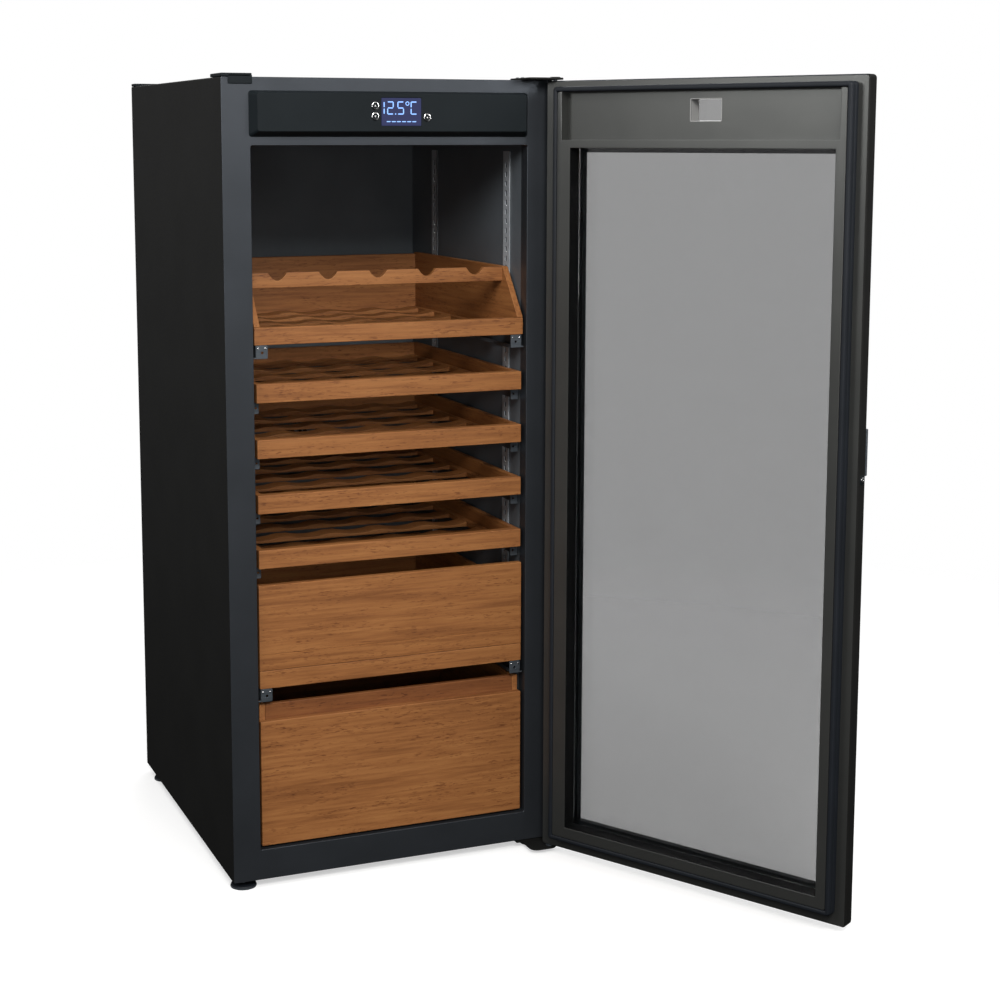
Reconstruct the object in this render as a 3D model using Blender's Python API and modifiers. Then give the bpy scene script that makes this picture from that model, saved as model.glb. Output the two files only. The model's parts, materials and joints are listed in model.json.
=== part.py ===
"""Wine cooler: a tall cabinet with a glazed door, sliding wooden shelves and two drawers.

Everything is laid out in cabinet coordinates: X runs from the left side of the case, Y runs
back from its front face and Z runs up from its underside. The root empty then moves the whole
cooler so that the origin is on the floor, under the middle of its bounding box. The door is
built closed, and the empty on its hinge line holds it open.
"""

from math import pi, radians

import bmesh
import bpy
from mathutils import Matrix, Vector

# Driving dimensions, in metres
WIDTH = 0.680
DEPTH = 0.775
HEIGHT = 1.570
FOOT_HEIGHT = 0.018
SHEET = 0.0007
FRAME_SHEET = 0.002
STILE = 0.0553
OPENING_LOW = 0.0612
OPENING_HIGH = 1.4425
INSIDE_DEPTH = 0.650
FRAME_RETURN = 0.030
LINER_WALL = 0.0015
GAP = 0.0003
DOOR_OPEN = radians(120)
HINGE_X = 0.670
HINGE_Y = -0.031

# The door, as it stands closed
DOOR_LOW = Vector((-0.006, -0.0555, -0.0045))
DOOR_HIGH = Vector((0.686, -0.0265, 1.5685))
RIM_Y = -0.0245
RIM_INSET = 0.002
PLUG_Y = -0.0025
PLUG_ROOT = -0.0255
RECESS_LOW = (0.0375, 1.4530)
RECESS_HIGH = (0.6340, 1.6)
GLASS_LOW = (0.0455, 0.053)
GLASS_HIGH = (0.6135, 1.437)
WINDOW_LOW = (0.290, 1.488)
WINDOW_HIGH = (0.3555, 1.5287)
SEAL_LOW = (0.015, 0.020)
SEAL_HIGH = (0.655, 1.556)
SEAL_WIDTH = 0.010
SEAL_Y = -0.0008
PANE = 0.004
WINDOW_PANE = 0.002
INNER_PANE_Y = -0.0375
DOOR_SKIN = 0.0015
DOOR_WEB = 0.003
LOCK_PLACE = (-0.0065, -0.041, 0.843)
LOCK_RADIUS = 0.006
LOCK_LENGTH = 0.016
LOCK_SOCKET = 0.030
LOCK_PROUD = 0.002
LOCK_CLEARANCE = 0.0005
PULL_LOW = 0.848
PULL_HIGH = 0.935
PULL_WIDTH = 0.012
PULL_DEPTH = 0.006

# Control bar on the header
BAR_LOW = (0.0524, 1.4586)
BAR_HIGH = (0.6240, 1.5450)
BAR_SLOPE = (0.011, 0.0045)
BAR_BOTTOM_SLOPE = 0.0099
BAR_DEPTH = 0.022
LENS_SETBACK = 0.0002
DISPLAY_LOW = (0.3093, 1.4797)
DISPLAY_HIGH = (0.3902, 1.5325)
BUTTONS = {
    "button_up": (0.2964, 1.5174),
    "button_down": (0.2964, 1.4976),
    "button_light": (0.4028, 1.4956),
}
BUTTON_RADIUS = 0.0078
BUTTON_LENGTH = 0.0064
BUTTON_PROUD = 0.0012
BUTTON_TRAVEL = 0.0015
BUTTON_CLEARANCE = 0.0004
DISPLAY_POCKET = 0.003

# Shelves and drawers, by their undersides
FRONT_Y = 0.008
SHELF_SIDE = 0.0625
SHELF_BACK = 0.600
SHELF_HEIGHT = 0.037
SHELF_PITCH = 0.1085
TOP_SHELF_Z = 0.9515
SHELF_COUNT = 4
BOARD = 0.012
DISPLAY_SIDE = 0.0595
DISPLAY_Z = 1.0635
DISPLAY_RAIL = 0.034
DISPLAY_TOP = 1.1965
NECK_REST_Y = 0.087
DRAWER_SIDE = 0.0610
UPPER_Z = 0.386
UPPER_RAIL_TOP = 0.4220
UPPER_FRONT_TOP = 0.593
UPPER_BOX_TOP = 0.5385
LOWER_Z = 0.0655
LOWER_FRONT_TOP = 0.3195
LOWER_BOX_Z = 0.075
LOWER_BOX_TOP = 0.351
LOWER_BACK = 0.440
FRONT_BOARD = 0.014
RAIL_OVERLAP = 0.004
FRONT_OVERLAP = 0.002
FRONT_RAIL = 0.020
FLOOR = 0.010
SLATS = 6
SLOT_DEPTH = 0.056
SLOT_SIDE = 0.090
SLOT_ENDS = 0.070
NECK_BOARD = 0.012
NECK_INSET = 0.001
NECK_BOARD_HEIGHT = 0.029

# Wall strips and runners
WALL_X = STILE
STRIP = 0.0025
STRIP_SPANS = {"front": (0.085, 0.115), "rear": (0.489, 0.519)}
STRIP_LOW = 0.290
STRIP_HIGH = 1.430
RUNNER_X = WALL_X + STRIP + 2 * GAP
RUNNER_REACH = 0.0780
RUNNER_FRONT = 0.035
RUNNER_METAL = 0.002
SLIDE_HEIGHT = 0.0265
SLIDE_X = (0.0625, 0.0780)
SLIDE_METAL = 0.0015
SLIDE_SETBACK = 0.003
SLIDE_BACKSET = 0.010
SHELF_RUNNER = 0.023
DRAWER_RUNNER = 0.026
LOWER_RUNNER = 0.032
RUNNER_DROP = 0.001
LOWER_CLEARANCE = 0.0015
SLIDE_DROP = 0.003

# The compressor bay behind the step in the liner
STEP_Y = 0.455
STEP_Z = 0.275
BASE_SHEET = 0.001
COMPRESSOR = Vector((0.200, 0.615, 0.100))
COMPRESSOR_RADIUS = 0.072
COMPRESSOR_HEIGHT = 0.150
COMPRESSOR_BORE = 0.055
COMPRESSOR_CROWN = 0.020
COMPRESSOR_EDGE = 0.022
COMPRESSOR_FOOT = (0.100, 0.075, 0.004)
COMPRESSOR_BRACKET = (0.008, 0.020)
BRACKET_PLACE = 0.055
BRACKET_TOP = 0.060
CONDENSER_LOW = Vector((0.400, 0.560, BASE_SHEET + GAP))
CONDENSER_HIGH = Vector((0.600, 0.700, 0.200))
CONDENSER_GAPS = 13
CONDENSER_FIN = 0.002
CONDENSER_BAR = 0.004

# The fan, and the cover over the evaporator
FAN_Y = 0.630
FAN_Z = 0.810
FAN_HUB = 0.016
FAN_LENGTH = 0.020
BLADES = 5
BLADE_SIZE = (0.032, 0.0018, 0.022)
BLADE_MIDDLE = 0.029
BLADE_PITCH = radians(28)
COVER_LOW = Vector((0.190, 0.615, 0.660))
COVER_HIGH = Vector((0.490, INSIDE_DEPTH - GAP, 0.960))
COVER_WALL = 0.002
GUARD_HALF = 0.050
GUARD_RIB = 0.004

# Vents and mains inlet in the back panel
VENT_SLOTS = 7
VENT_PITCH = 0.028
VENT_LOW = 0.045
VENT_HEIGHT = 0.010
VENT_SPAN = (0.20, 0.60)
INLET_LOW = (0.085, 0.105)
INLET_HIGH = (0.115, 0.129)
INLET_DEPTH = 0.030
INLET_WALL = 0.003
SOCKET_DEPTH = 0.020

# Hinge plates, the cap over the unused pair of hinge holes, and the feet
PLATE_LEFT = 0.610
PLATE_RIGHT = 0.684
PLATE_FRONT = -0.046
PLATE_BACK = 0.060
TOP_PLATE = 0.004
LOWER_PLATE = (-0.0095, -0.0065)
PACKER_FRONT = 0.003
PIN_RADIUS = 0.004
PIN_LENGTH = 0.018
PIN_HOLE = 0.0045
PIN_SOCKET = 0.030
CAP_RIGHT = 0.0597
CAP_FRONT = -0.003
CAP_BACK = 0.080
CAP_HEIGHT = 0.0065
CAP_LIP_LEFT = 0.0134
CAP_LIP_LOW = 1.5572
PAD_TOP = -0.0105
FOOT_RADIUS = 0.0262
STEM_RADIUS = 0.005
STEM_CLEARANCE = 0.001
FEET = {
    "foot_front_left": (0.0265, 0.028),
    "foot_front_right": (WIDTH - 0.0265, 0.028),
    "foot_rear_left": (0.0265, 0.700),
    "foot_rear_right": (WIDTH - 0.0265, 0.700),
}

DISC_SIDES = 32

# Extents of the open door, which set the root's place
SWUNG = Matrix.Rotation(DOOR_OPEN, 3, "Z")
HINGE = Vector((HINGE_X, HINGE_Y, 0.0))


def swung(x, y):
    """Where a point of the closed door stands once the door is open."""
    return SWUNG @ (Vector((x, y, 0.0)) - HINGE) + HINGE


FAR_X = swung(DOOR_LOW.x, DOOR_LOW.y - PULL_DEPTH).x
NEAR_Y = swung(DOOR_LOW.x, DOOR_HIGH.y).y


def clear_scene():
    for old in list(bpy.data.objects):
        bpy.data.objects.remove(old, do_unlink=True)


def collection(name):
    group = bpy.data.collections.new(name)
    bpy.context.scene.collection.children.link(group)
    return group


def material(name, colour, roughness, metallic=0.0, alpha=1.0):
    made = bpy.data.materials.new(name)
    made.use_nodes = True
    shader = made.node_tree.nodes["Principled BSDF"]
    shader.inputs["Base Color"].default_value = (*colour, 1.0)
    shader.inputs["Roughness"].default_value = roughness
    shader.inputs["Metallic"].default_value = metallic
    shader.inputs["Alpha"].default_value = alpha
    return made


clear_scene()
PARTS = collection("wine_cooler")
TOOLS = collection("cutters")
PIVOTS = {}


def pivot(name, point, turn=0.0, parent="cabinet"):
    """An empty on a joint's axis; the pieces of that body are its children."""
    empty = bpy.data.objects.new(name + "_pivot", None)
    empty.empty_display_size = 0.05
    PARTS.objects.link(empty)
    empty.location = Vector(point)
    if PIVOTS:
        empty.parent = PIVOTS[parent][0]
    if parent != "cabinet":
        empty.location -= PIVOTS[parent][1]
    empty.rotation_euler.z = turn
    PIVOTS[name] = (empty, Vector(point))


def put(name, mesh, centre, body, finish=None):
    """An object at a place in cabinet coordinates, as a child of its body's pivot."""
    piece = bpy.data.objects.new(name, mesh)
    empty, point = PIVOTS[body]
    piece.parent = empty
    piece.location = Vector(centre) - (point if body != "cabinet" else Vector())
    if finish is None:
        piece.hide_render = True
        piece.display_type = "WIRE"
        TOOLS.objects.link(piece)
    else:
        mesh.materials.append(finish)
        PARTS.objects.link(piece)
    return piece


def boxes_mesh(name, boxes, centre):
    """One mesh of separate boxes, each between a low and a high corner."""
    shape = bmesh.new()
    for low, high in boxes:
        size = Vector(high) - Vector(low)
        middle = (Vector(high) + Vector(low)) / 2 - centre
        place = Matrix.Translation(middle) @ Matrix.Diagonal((*size, 1.0))
        bmesh.ops.create_cube(shape, size=1.0, matrix=place)
    mesh = bpy.data.meshes.new(name)
    shape.to_mesh(mesh)
    shape.free()
    return mesh


def block(name, low, high, body, finish=None):
    centre = (Vector(low) + Vector(high)) / 2
    return put(name, boxes_mesh(name, [(low, high)], centre), centre, body, finish)


def disc(name, centre, radius, length, axis, body, finish=None, sides=DISC_SIDES):
    """A cylinder about its centre, along X, Y or Z."""
    turns = {"X": Matrix.Rotation(pi / 2, 4, "Y"), "Y": Matrix.Rotation(pi / 2, 4, "X")}
    shape = bmesh.new()
    bmesh.ops.create_cone(
        shape,
        cap_ends=True,
        segments=sides,
        radius1=radius,
        radius2=radius,
        depth=length,
        matrix=turns.get(axis, Matrix()),
    )
    mesh = bpy.data.meshes.new(name)
    shape.to_mesh(mesh)
    shape.free()
    mesh.shade_smooth()
    mesh.set_sharp_from_angle(angle=radians(40))
    return put(name, mesh, centre, body, finish)


def outline(name, points, low_x, high_x, body, finish=None):
    """A flat (y, z) outline given thickness from low_x to high_x."""
    curve = bpy.data.curves.new(name, "CURVE")
    curve.dimensions = "2D"
    curve.fill_mode = "BOTH"
    curve.extrude = (high_x - low_x) / 2
    line = curve.splines.new("POLY")
    line.points.add(len(points) - 1)
    for place, (y, z) in zip(line.points, points):
        place.co = (y, z, 0.0, 1.0)
    line.use_cyclic_u = True
    drawn = bpy.data.objects.new(name, curve)
    TOOLS.objects.link(drawn)
    bpy.context.view_layer.update()
    flat = drawn.evaluated_get(bpy.context.evaluated_depsgraph_get())
    mesh = bpy.data.meshes.new_from_object(flat)
    bpy.data.objects.remove(drawn, do_unlink=True)
    shape = bmesh.new()
    shape.from_mesh(mesh)
    bmesh.ops.remove_doubles(shape, verts=shape.verts, dist=0.00001)
    across = Matrix(((0, 0, 1, 0), (1, 0, 0, 0), (0, 1, 0, 0), (0, 0, 0, 1)))
    bmesh.ops.transform(shape, matrix=across, verts=shape.verts)
    bmesh.ops.recalc_face_normals(shape, faces=shape.faces)
    shape.to_mesh(mesh)
    shape.free()
    return put(name, mesh, ((low_x + high_x) / 2, 0, 0), body, finish)


def boolean(piece, tool, operation):
    change = piece.modifiers.new(tool.name, "BOOLEAN")
    change.operation = operation
    change.solver = "EXACT"
    change.object = tool
    return piece


def body_of(piece):
    return next(name for name, (empty, _) in PIVOTS.items() if empty == piece.parent)


def cut(piece, *boxes):
    """Takes boxes that don't touch each other out of a piece."""
    body = body_of(piece)
    low = Vector(boxes[0][0])
    tool = put(piece.name + "_cut", boxes_mesh(piece.name + "_cut", boxes, low), low, body)
    return boolean(piece, tool, "DIFFERENCE")


def cut_with(piece, tool):
    return boolean(piece, tool, "DIFFERENCE")


def join(piece, tool):
    return boolean(piece, tool, "UNION")


def join_box(piece, low, high):
    return join(piece, block(piece.name + "_join", low, high, body_of(piece)))


def mirrored(low, high):
    """The same box on the other side of the cabinet."""
    return (WIDTH - high[0], *low[1:]), (WIDTH - low[0], *high[1:])


def sided(side, low, high):
    return (low, high) if side == "left" else mirrored(low, high)


# Materials
CHARCOAL = material("charcoal_paint", (0.045, 0.05, 0.055), 0.45, 0.3)
BLACK = material("black_paint", (0.014, 0.014, 0.013), 0.5, 0.2)
PLASTIC = material("black_plastic", (0.018, 0.019, 0.02), 0.5)
LINER = material("liner_plastic", (0.03, 0.03, 0.032), 0.55)
RUBBER = material("seal_rubber", (0.02, 0.022, 0.026), 0.6)
WOOD = material("oiled_wood", (0.33, 0.15, 0.053), 0.5)
STEEL = material("zinc_steel", (0.25, 0.28, 0.32), 0.35, 0.9)
CHROME = material("bright_chrome", (0.8, 0.8, 0.8), 0.12, 1.0)
GLASS = material("tinted_glass", (0.32, 0.33, 0.34), 0.05, 0.0, 0.35)
LENS = material("display_lens", (0.05, 0.15, 0.55), 0.15)
DARK_METAL = material("compressor_black", (0.02, 0.02, 0.02), 0.4, 0.5)


def make_pivots():
    pivot("cabinet", (-FAR_X / 2, -(DEPTH + NEAR_Y) / 2, FOOT_HEIGHT))
    pivot("door", HINGE, DOOR_OPEN)
    middle = WIDTH / 2
    pivot("display_shelf", (middle, FRONT_Y, DISPLAY_Z))
    for number in range(SHELF_COUNT):
        pivot(f"shelf_{number + 1}", (middle, FRONT_Y, shelf_z(number)))
    pivot("upper_drawer", (middle, FRONT_Y, UPPER_Z))
    pivot("lower_drawer", (middle, FRONT_Y, LOWER_Z))
    pivot("fan", (middle, FAN_Y, FAN_Z))
    for name, (x, z) in BUTTONS.items():
        pivot(name, (x, -BAR_DEPTH, z))
    pivot("lock", LOCK_PLACE, parent="door")


def shelf_z(number):
    return TOP_SHELF_Z - number * SHELF_PITCH


# Case -----------------------------------------------------------------------------


def make_case():
    back = DEPTH - SHEET - GAP
    front = FRAME_SHEET + GAP
    wrapper = block("outer_wrapper", (0, front, 0), (WIDTH, back, HEIGHT), "cabinet", BLACK)
    cut(wrapper, ((SHEET, -0.1, -0.1), (WIDTH - SHEET, 1.0, HEIGHT - SHEET)))
    make_back_panel()
    inside = SHEET + GAP
    block("base_pan", (inside, front, 0), (WIDTH - inside, back, BASE_SHEET), "cabinet", BLACK)
    make_face_frame()
    make_liner()


def make_back_panel():
    panel = block("back_panel", (0, DEPTH - SHEET, 0), (WIDTH, DEPTH, HEIGHT), "cabinet", BLACK)
    slots = []
    for row in range(VENT_SLOTS):
        low = VENT_LOW + row * VENT_PITCH
        slots.append(((VENT_SPAN[0], 0.7, low), (VENT_SPAN[1], 0.8, low + VENT_HEIGHT)))
    hole = (
        (INLET_LOW[0] - GAP, 0.7, INLET_LOW[1] - GAP),
        (INLET_HIGH[0] + GAP, 0.8, INLET_HIGH[1] + GAP),
    )
    cut(panel, hole, *slots)


def make_face_frame():
    hole_low = (STILE, -0.1, OPENING_LOW)
    hole_high = (WIDTH - STILE, 1.0, OPENING_HIGH)
    sheet = FRAME_SHEET
    frame = block("face_frame", (0, 0, 0), (WIDTH, sheet, HEIGHT), "cabinet", CHARCOAL)
    join_box(
        frame,
        (STILE - sheet, sheet / 2, OPENING_LOW - sheet),
        (WIDTH - STILE + sheet, FRAME_RETURN, OPENING_HIGH + sheet),
    )
    cut(frame, (hole_low, hole_high))


def make_liner():
    front = FRAME_RETURN + GAP
    wall = LINER_WALL
    left, right = STILE, WIDTH - STILE
    low, high = OPENING_LOW, OPENING_HIGH
    liner = block(
        "inner_liner",
        (left - wall, front, low - wall),
        (right + wall, INSIDE_DEPTH + wall, high + wall),
        "cabinet",
        LINER,
    )
    cut(liner, ((left, 0.0, STEP_Z), (right, INSIDE_DEPTH, high)))
    cut(liner, ((left, 0.0, low), (right, STEP_Y, STEP_Z + 0.01)))
    cut(liner, ((0.0, STEP_Y + wall, 0.0), (WIDTH, 1.0, STEP_Z - wall)))


# Refrigeration --------------------------------------------------------------------


def make_refrigeration():
    cover = block("evaporator_cover", COVER_LOW, COVER_HIGH, "cabinet", LINER)
    wall = Vector((COVER_WALL, COVER_WALL, COVER_WALL))
    cut(cover, (COVER_LOW + wall, (COVER_HIGH.x - COVER_WALL, 1.0, COVER_HIGH.z - COVER_WALL)))
    middle = WIDTH / 2
    quarters = []
    for side in (-1, 1):
        for level in (-1, 1):
            xs = sorted((middle + side * GUARD_RIB, middle + side * GUARD_HALF))
            zs = sorted((FAN_Z + level * GUARD_RIB, FAN_Z + level * GUARD_HALF))
            through = (COVER_LOW.y - COVER_WALL, COVER_LOW.y + 2 * COVER_WALL)
            quarters.append(((xs[0], through[0], zs[0]), (xs[1], through[1], zs[1])))
    cut(cover, *quarters)
    make_fan()
    make_compressor()
    make_inlet()


def make_fan():
    middle = (WIDTH / 2, FAN_Y, FAN_Z)
    fan = disc("fan_blades", middle, FAN_HUB, FAN_LENGTH, "Y", "fan", PLASTIC, 20)
    for number in range(BLADES):
        angle = 2 * pi * number / BLADES
        shape = bmesh.new()
        pose = (
            Matrix.Rotation(angle, 4, "Y")
            @ Matrix.Translation((BLADE_MIDDLE, 0, 0))
            @ Matrix.Rotation(BLADE_PITCH, 4, "X")
            @ Matrix.Diagonal((*BLADE_SIZE, 1.0))
        )
        bmesh.ops.create_cube(shape, size=1.0, matrix=pose)
        mesh = bpy.data.meshes.new("blade")
        shape.to_mesh(mesh)
        shape.free()
        join(fan, put(f"blade_{number}", mesh, middle, "fan"))


def make_compressor():
    """A rounded can on a foot plate, open underneath, and a finned condenser beside it."""
    can = disc(
        "compressor", COMPRESSOR, COMPRESSOR_RADIUS, COMPRESSOR_HEIGHT, "Z", "cabinet",
        DARK_METAL, 28,
    )
    soft = can.modifiers.new("rounded ends", "BEVEL")
    soft.width = COMPRESSOR_EDGE
    soft.segments = 2
    soft.limit_method = "ANGLE"
    soft.angle_limit = radians(50)
    x, y, z = COMPRESSOR
    wide, deep, thick = COMPRESSOR_FOOT
    floor = BASE_SHEET + GAP
    join_box(can, (x - wide, y - deep, floor), (x + wide, y + deep, floor + thick))
    bracket = Vector((*COMPRESSOR_BRACKET, 0.0))
    for side in (-1, 1):
        middle = Vector((x + side * BRACKET_PLACE, y, 0.0))
        low, high = middle - bracket, middle + bracket
        join_box(can, (*low.xy, floor + thick / 2), (*high.xy, BRACKET_TOP))
    bore = disc(
        "compressor_bore", (x, y, z - COMPRESSOR_CROWN), COMPRESSOR_BORE, COMPRESSOR_HEIGHT, "Z", "cabinet"
    )
    cut_with(can, bore)
    fins = block("condenser", CONDENSER_LOW, CONDENSER_HIGH, "cabinet", STEEL)
    pitch = (CONDENSER_HIGH.x - CONDENSER_LOW.x - CONDENSER_FIN) / CONDENSER_GAPS
    gaps = []
    for number in range(CONDENSER_GAPS):
        left = CONDENSER_LOW.x + CONDENSER_FIN + number * pitch
        gaps.append(
            (
                (left, 0.5, CONDENSER_LOW.z + CONDENSER_BAR),
                (left + pitch - CONDENSER_FIN, 0.8, CONDENSER_HIGH.z - CONDENSER_BAR),
            )
        )
    cut(fins, *gaps)


def make_inlet():
    low = (INLET_LOW[0], DEPTH - INLET_DEPTH, INLET_LOW[1])
    inlet = block("power_inlet", low, (INLET_HIGH[0], DEPTH, INLET_HIGH[1]), "cabinet", PLASTIC)
    cut(
        inlet,
        (
            (INLET_LOW[0] + INLET_WALL, DEPTH - SOCKET_DEPTH, INLET_LOW[1] + INLET_WALL),
            (INLET_HIGH[0] - INLET_WALL, DEPTH + 0.1, INLET_HIGH[1] - INLET_WALL),
        ),
    )


# Control bar ----------------------------------------------------------------------


def make_control_bar():
    low = (BAR_LOW[0], -BAR_DEPTH, BAR_LOW[1])
    high = (BAR_HIGH[0], -GAP, BAR_HIGH[1])
    bar = block("control_housing", low, high, "cabinet", PLASTIC)
    half_x = (high[0] - low[0]) / 2
    for corner in bar.data.vertices:
        if corner.co.y < 0:
            corner.co.x *= 1 - BAR_SLOPE[0] / half_x
            corner.co.z += -BAR_SLOPE[1] if corner.co.z > 0 else BAR_BOTTOM_SLOPE
    pocket_y = -BAR_DEPTH + DISPLAY_POCKET
    cut(
        bar,
        (
            (DISPLAY_LOW[0] - GAP, -0.1, DISPLAY_LOW[1] - GAP),
            (DISPLAY_HIGH[0] + GAP, pocket_y, DISPLAY_HIGH[1] + GAP),
        ),
    )
    block(
        "display_lens",
        (DISPLAY_LOW[0], -BAR_DEPTH + LENS_SETBACK, DISPLAY_LOW[1]),
        (DISPLAY_HIGH[0], pocket_y - GAP, DISPLAY_HIGH[1]),
        "cabinet",
        LENS,
    )
    middle_y = -BAR_DEPTH - BUTTON_PROUD + BUTTON_LENGTH / 2
    well_length = BUTTON_LENGTH + 2 * BUTTON_TRAVEL + 2 * BUTTON_CLEARANCE
    well_radius = BUTTON_RADIUS + BUTTON_CLEARANCE
    for name, (x, z) in BUTTONS.items():
        cut_with(bar, disc(name + "_well", (x, middle_y, z), well_radius, well_length, "Y", "cabinet"))
        disc(name, (x, middle_y, z), BUTTON_RADIUS, BUTTON_LENGTH, "Y", name, CHROME, 24)


# Hinges and feet ------------------------------------------------------------------


def make_hinges():
    top = HEIGHT + GAP
    upper = block(
        "top_hinge_bracket",
        (PLATE_LEFT, PLATE_FRONT, top),
        (PLATE_RIGHT, PLATE_BACK, top + TOP_PLATE),
        "cabinet",
        BLACK,
    )
    pin_z = DOOR_HIGH.z - PIN_LENGTH / 2 + TOP_PLATE
    join(upper, disc("top_pin", (HINGE_X, HINGE_Y, pin_z), PIN_RADIUS, PIN_LENGTH, "Z", "cabinet"))
    lower = block(
        "bottom_hinge_bracket",
        (PLATE_LEFT, PLATE_FRONT, LOWER_PLATE[0]),
        (PLATE_RIGHT, PLATE_BACK, LOWER_PLATE[1]),
        "cabinet",
        BLACK,
    )
    packer_low = (PLATE_LEFT, PACKER_FRONT, (LOWER_PLATE[0] + LOWER_PLATE[1]) / 2)
    join_box(lower, packer_low, (WIDTH - GAP, PLATE_BACK, -GAP))
    pin_z = LOWER_PLATE[0] + PIN_LENGTH / 2 + GAP
    join(lower, disc("low_pin", (HINGE_X, HINGE_Y, pin_z), PIN_RADIUS, PIN_LENGTH, "Z", "cabinet"))
    x, y = FEET["foot_front_right"]
    cut_with(lower, disc("stem_hole", (x, y, 0.0), STEM_RADIUS + STEM_CLEARANCE, 0.05, "Z", "cabinet"))
    cap = block(
        "spare_hinge_cap",
        (0.0, CAP_FRONT, top),
        (CAP_RIGHT, CAP_BACK, top + CAP_HEIGHT),
        "cabinet",
        PLASTIC,
    )
    join_box(cap, (CAP_LIP_LEFT, CAP_FRONT, CAP_LIP_LOW), (CAP_RIGHT, -GAP, top + CAP_HEIGHT / 2))


def make_feet():
    pad_middle = (PAD_TOP - FOOT_HEIGHT) / 2
    pad_height = PAD_TOP + FOOT_HEIGHT
    for name, (x, y) in FEET.items():
        foot = disc(name, (x, y, pad_middle), FOOT_RADIUS, pad_height, "Z", "cabinet", STEEL)
        stem_low = PAD_TOP - pad_height / 4
        stem_middle = (stem_low - GAP) / 2
        stem = disc(
            name + "_stem", (x, y, stem_middle), STEM_RADIUS, -GAP - stem_low, "Z", "cabinet",
            sides=16,
        )
        join(foot, stem)


# Door -----------------------------------------------------------------------------


def across(low, high, near, far):
    """A box from (x, z) corners and a near and a far y."""
    return (low[0], near, low[1]), (high[0], far, high[1])


def grown(corner, amount):
    return tuple(value + amount for value in corner)


def make_door():
    slab = block("door_frame", DOOR_LOW, DOOR_HIGH, "door", CHARCOAL)
    cut(slab, across(GLASS_LOW, GLASS_HIGH, -0.2, 0.1), across(WINDOW_LOW, WINDOW_HIGH, -0.2, 0.1))
    cut(slab, *door_cavities())
    for z in (DOOR_LOW.z, DOOR_HIGH.z):
        cut_with(slab, disc("pin_hole", (HINGE_X, HINGE_Y, z), PIN_HOLE, PIN_SOCKET, "Z", "door"))
    x, y, z = LOCK_PLACE
    cut_with(slab, disc("lock_hole", (x, y, z), LOCK_RADIUS + LOCK_CLEARANCE, LOCK_SOCKET, "X", "door"))
    make_inner_frame()
    make_glazing()
    make_seal()
    middle = (x - LOCK_PROUD + LOCK_LENGTH / 2, y, z)
    disc("lock_cylinder", middle, LOCK_RADIUS, LOCK_LENGTH, "X", "lock", CHROME, 24)
    block(
        "door_pull",
        (DOOR_LOW.x, DOOR_LOW.y - PULL_DEPTH, PULL_LOW),
        (DOOR_LOW.x + PULL_WIDTH, DOOR_LOW.y - GAP, PULL_HIGH),
        "door",
        STEEL,
    )


def door_cavities():
    """The hollow of the pressed steel door, in boxes that leave thin webs between them."""
    skin = DOOR_SKIN
    low_y = DOOR_LOW.y + skin
    web = DOOR_WEB
    left, right = DOOR_LOW.x + skin, DOOR_HIGH.x - skin
    low, high = DOOR_LOW.z + skin, DOOR_HIGH.z - skin
    hole_left, hole_right = GLASS_LOW[0] - web, GLASS_HIGH[0] + web
    return [
        ((left, low_y, low), (hole_left, 0.1, high)),
        ((hole_right, low_y, low), (right, 0.1, high)),
        ((hole_left + skin, low_y, low), (hole_right - skin, 0.1, GLASS_LOW[1] - web)),
        ((hole_left + skin, low_y, GLASS_HIGH[1] + web), (WINDOW_LOW[0] - web, 0.1, high)),
        ((WINDOW_HIGH[0] + web, low_y, GLASS_HIGH[1] + web), (hole_right - skin, 0.1, high)),
    ]


def make_inner_frame():
    edge = RIM_INSET
    frame = block(
        "door_inner_frame",
        (DOOR_LOW.x + edge, DOOR_HIGH.y + GAP, DOOR_LOW.z + edge),
        (DOOR_HIGH.x - edge, RIM_Y, DOOR_HIGH.z - edge),
        "door",
        PLASTIC,
    )
    inset = SEAL_WIDTH + GAP
    plug_low, plug_high = grown(SEAL_LOW, inset), grown(SEAL_HIGH, -inset)
    join_box(frame, *across(plug_low, plug_high, PLUG_ROOT, PLUG_Y))
    cut(
        frame,
        across(GLASS_LOW, GLASS_HIGH, -0.2, 0.1),
        across(WINDOW_LOW, WINDOW_HIGH, -0.2, 0.1),
    )
    cut(frame, across(RECESS_LOW, RECESS_HIGH, RIM_Y, 0.1))


def make_glazing():
    low, high = grown(GLASS_LOW, GAP), grown(GLASS_HIGH, -GAP)
    outer = DOOR_LOW.y + GAP
    block("outer_glass", *across(low, high, outer, outer + PANE), "door", GLASS)
    block(
        "inner_glass", *across(low, high, INNER_PANE_Y, INNER_PANE_Y + PANE), "door", GLASS
    )
    low, high = grown(WINDOW_LOW, GAP), grown(WINDOW_HIGH, -GAP)
    block("display_window", *across(low, high, outer, outer + WINDOW_PANE), "door", GLASS)


def make_seal():
    seal = block(
        "door_gasket", *across(SEAL_LOW, SEAL_HIGH, RIM_Y + GAP, SEAL_Y), "door", RUBBER
    )
    cut(seal, across(grown(SEAL_LOW, SEAL_WIDTH), grown(SEAL_HIGH, -SEAL_WIDTH), -0.1, 0.1))


# Shelves, drawers and what they run on ----------------------------------------------


def make_strips():
    for side in ("left", "right"):
        for place, (near, far) in STRIP_SPANS.items():
            low = (WALL_X + GAP, near, STRIP_LOW)
            high = (WALL_X + GAP + STRIP, far, STRIP_HIGH)
            block(f"wall_strip_{side}_{place}", *sided(side, low, high), "cabinet", STEEL)


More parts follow.
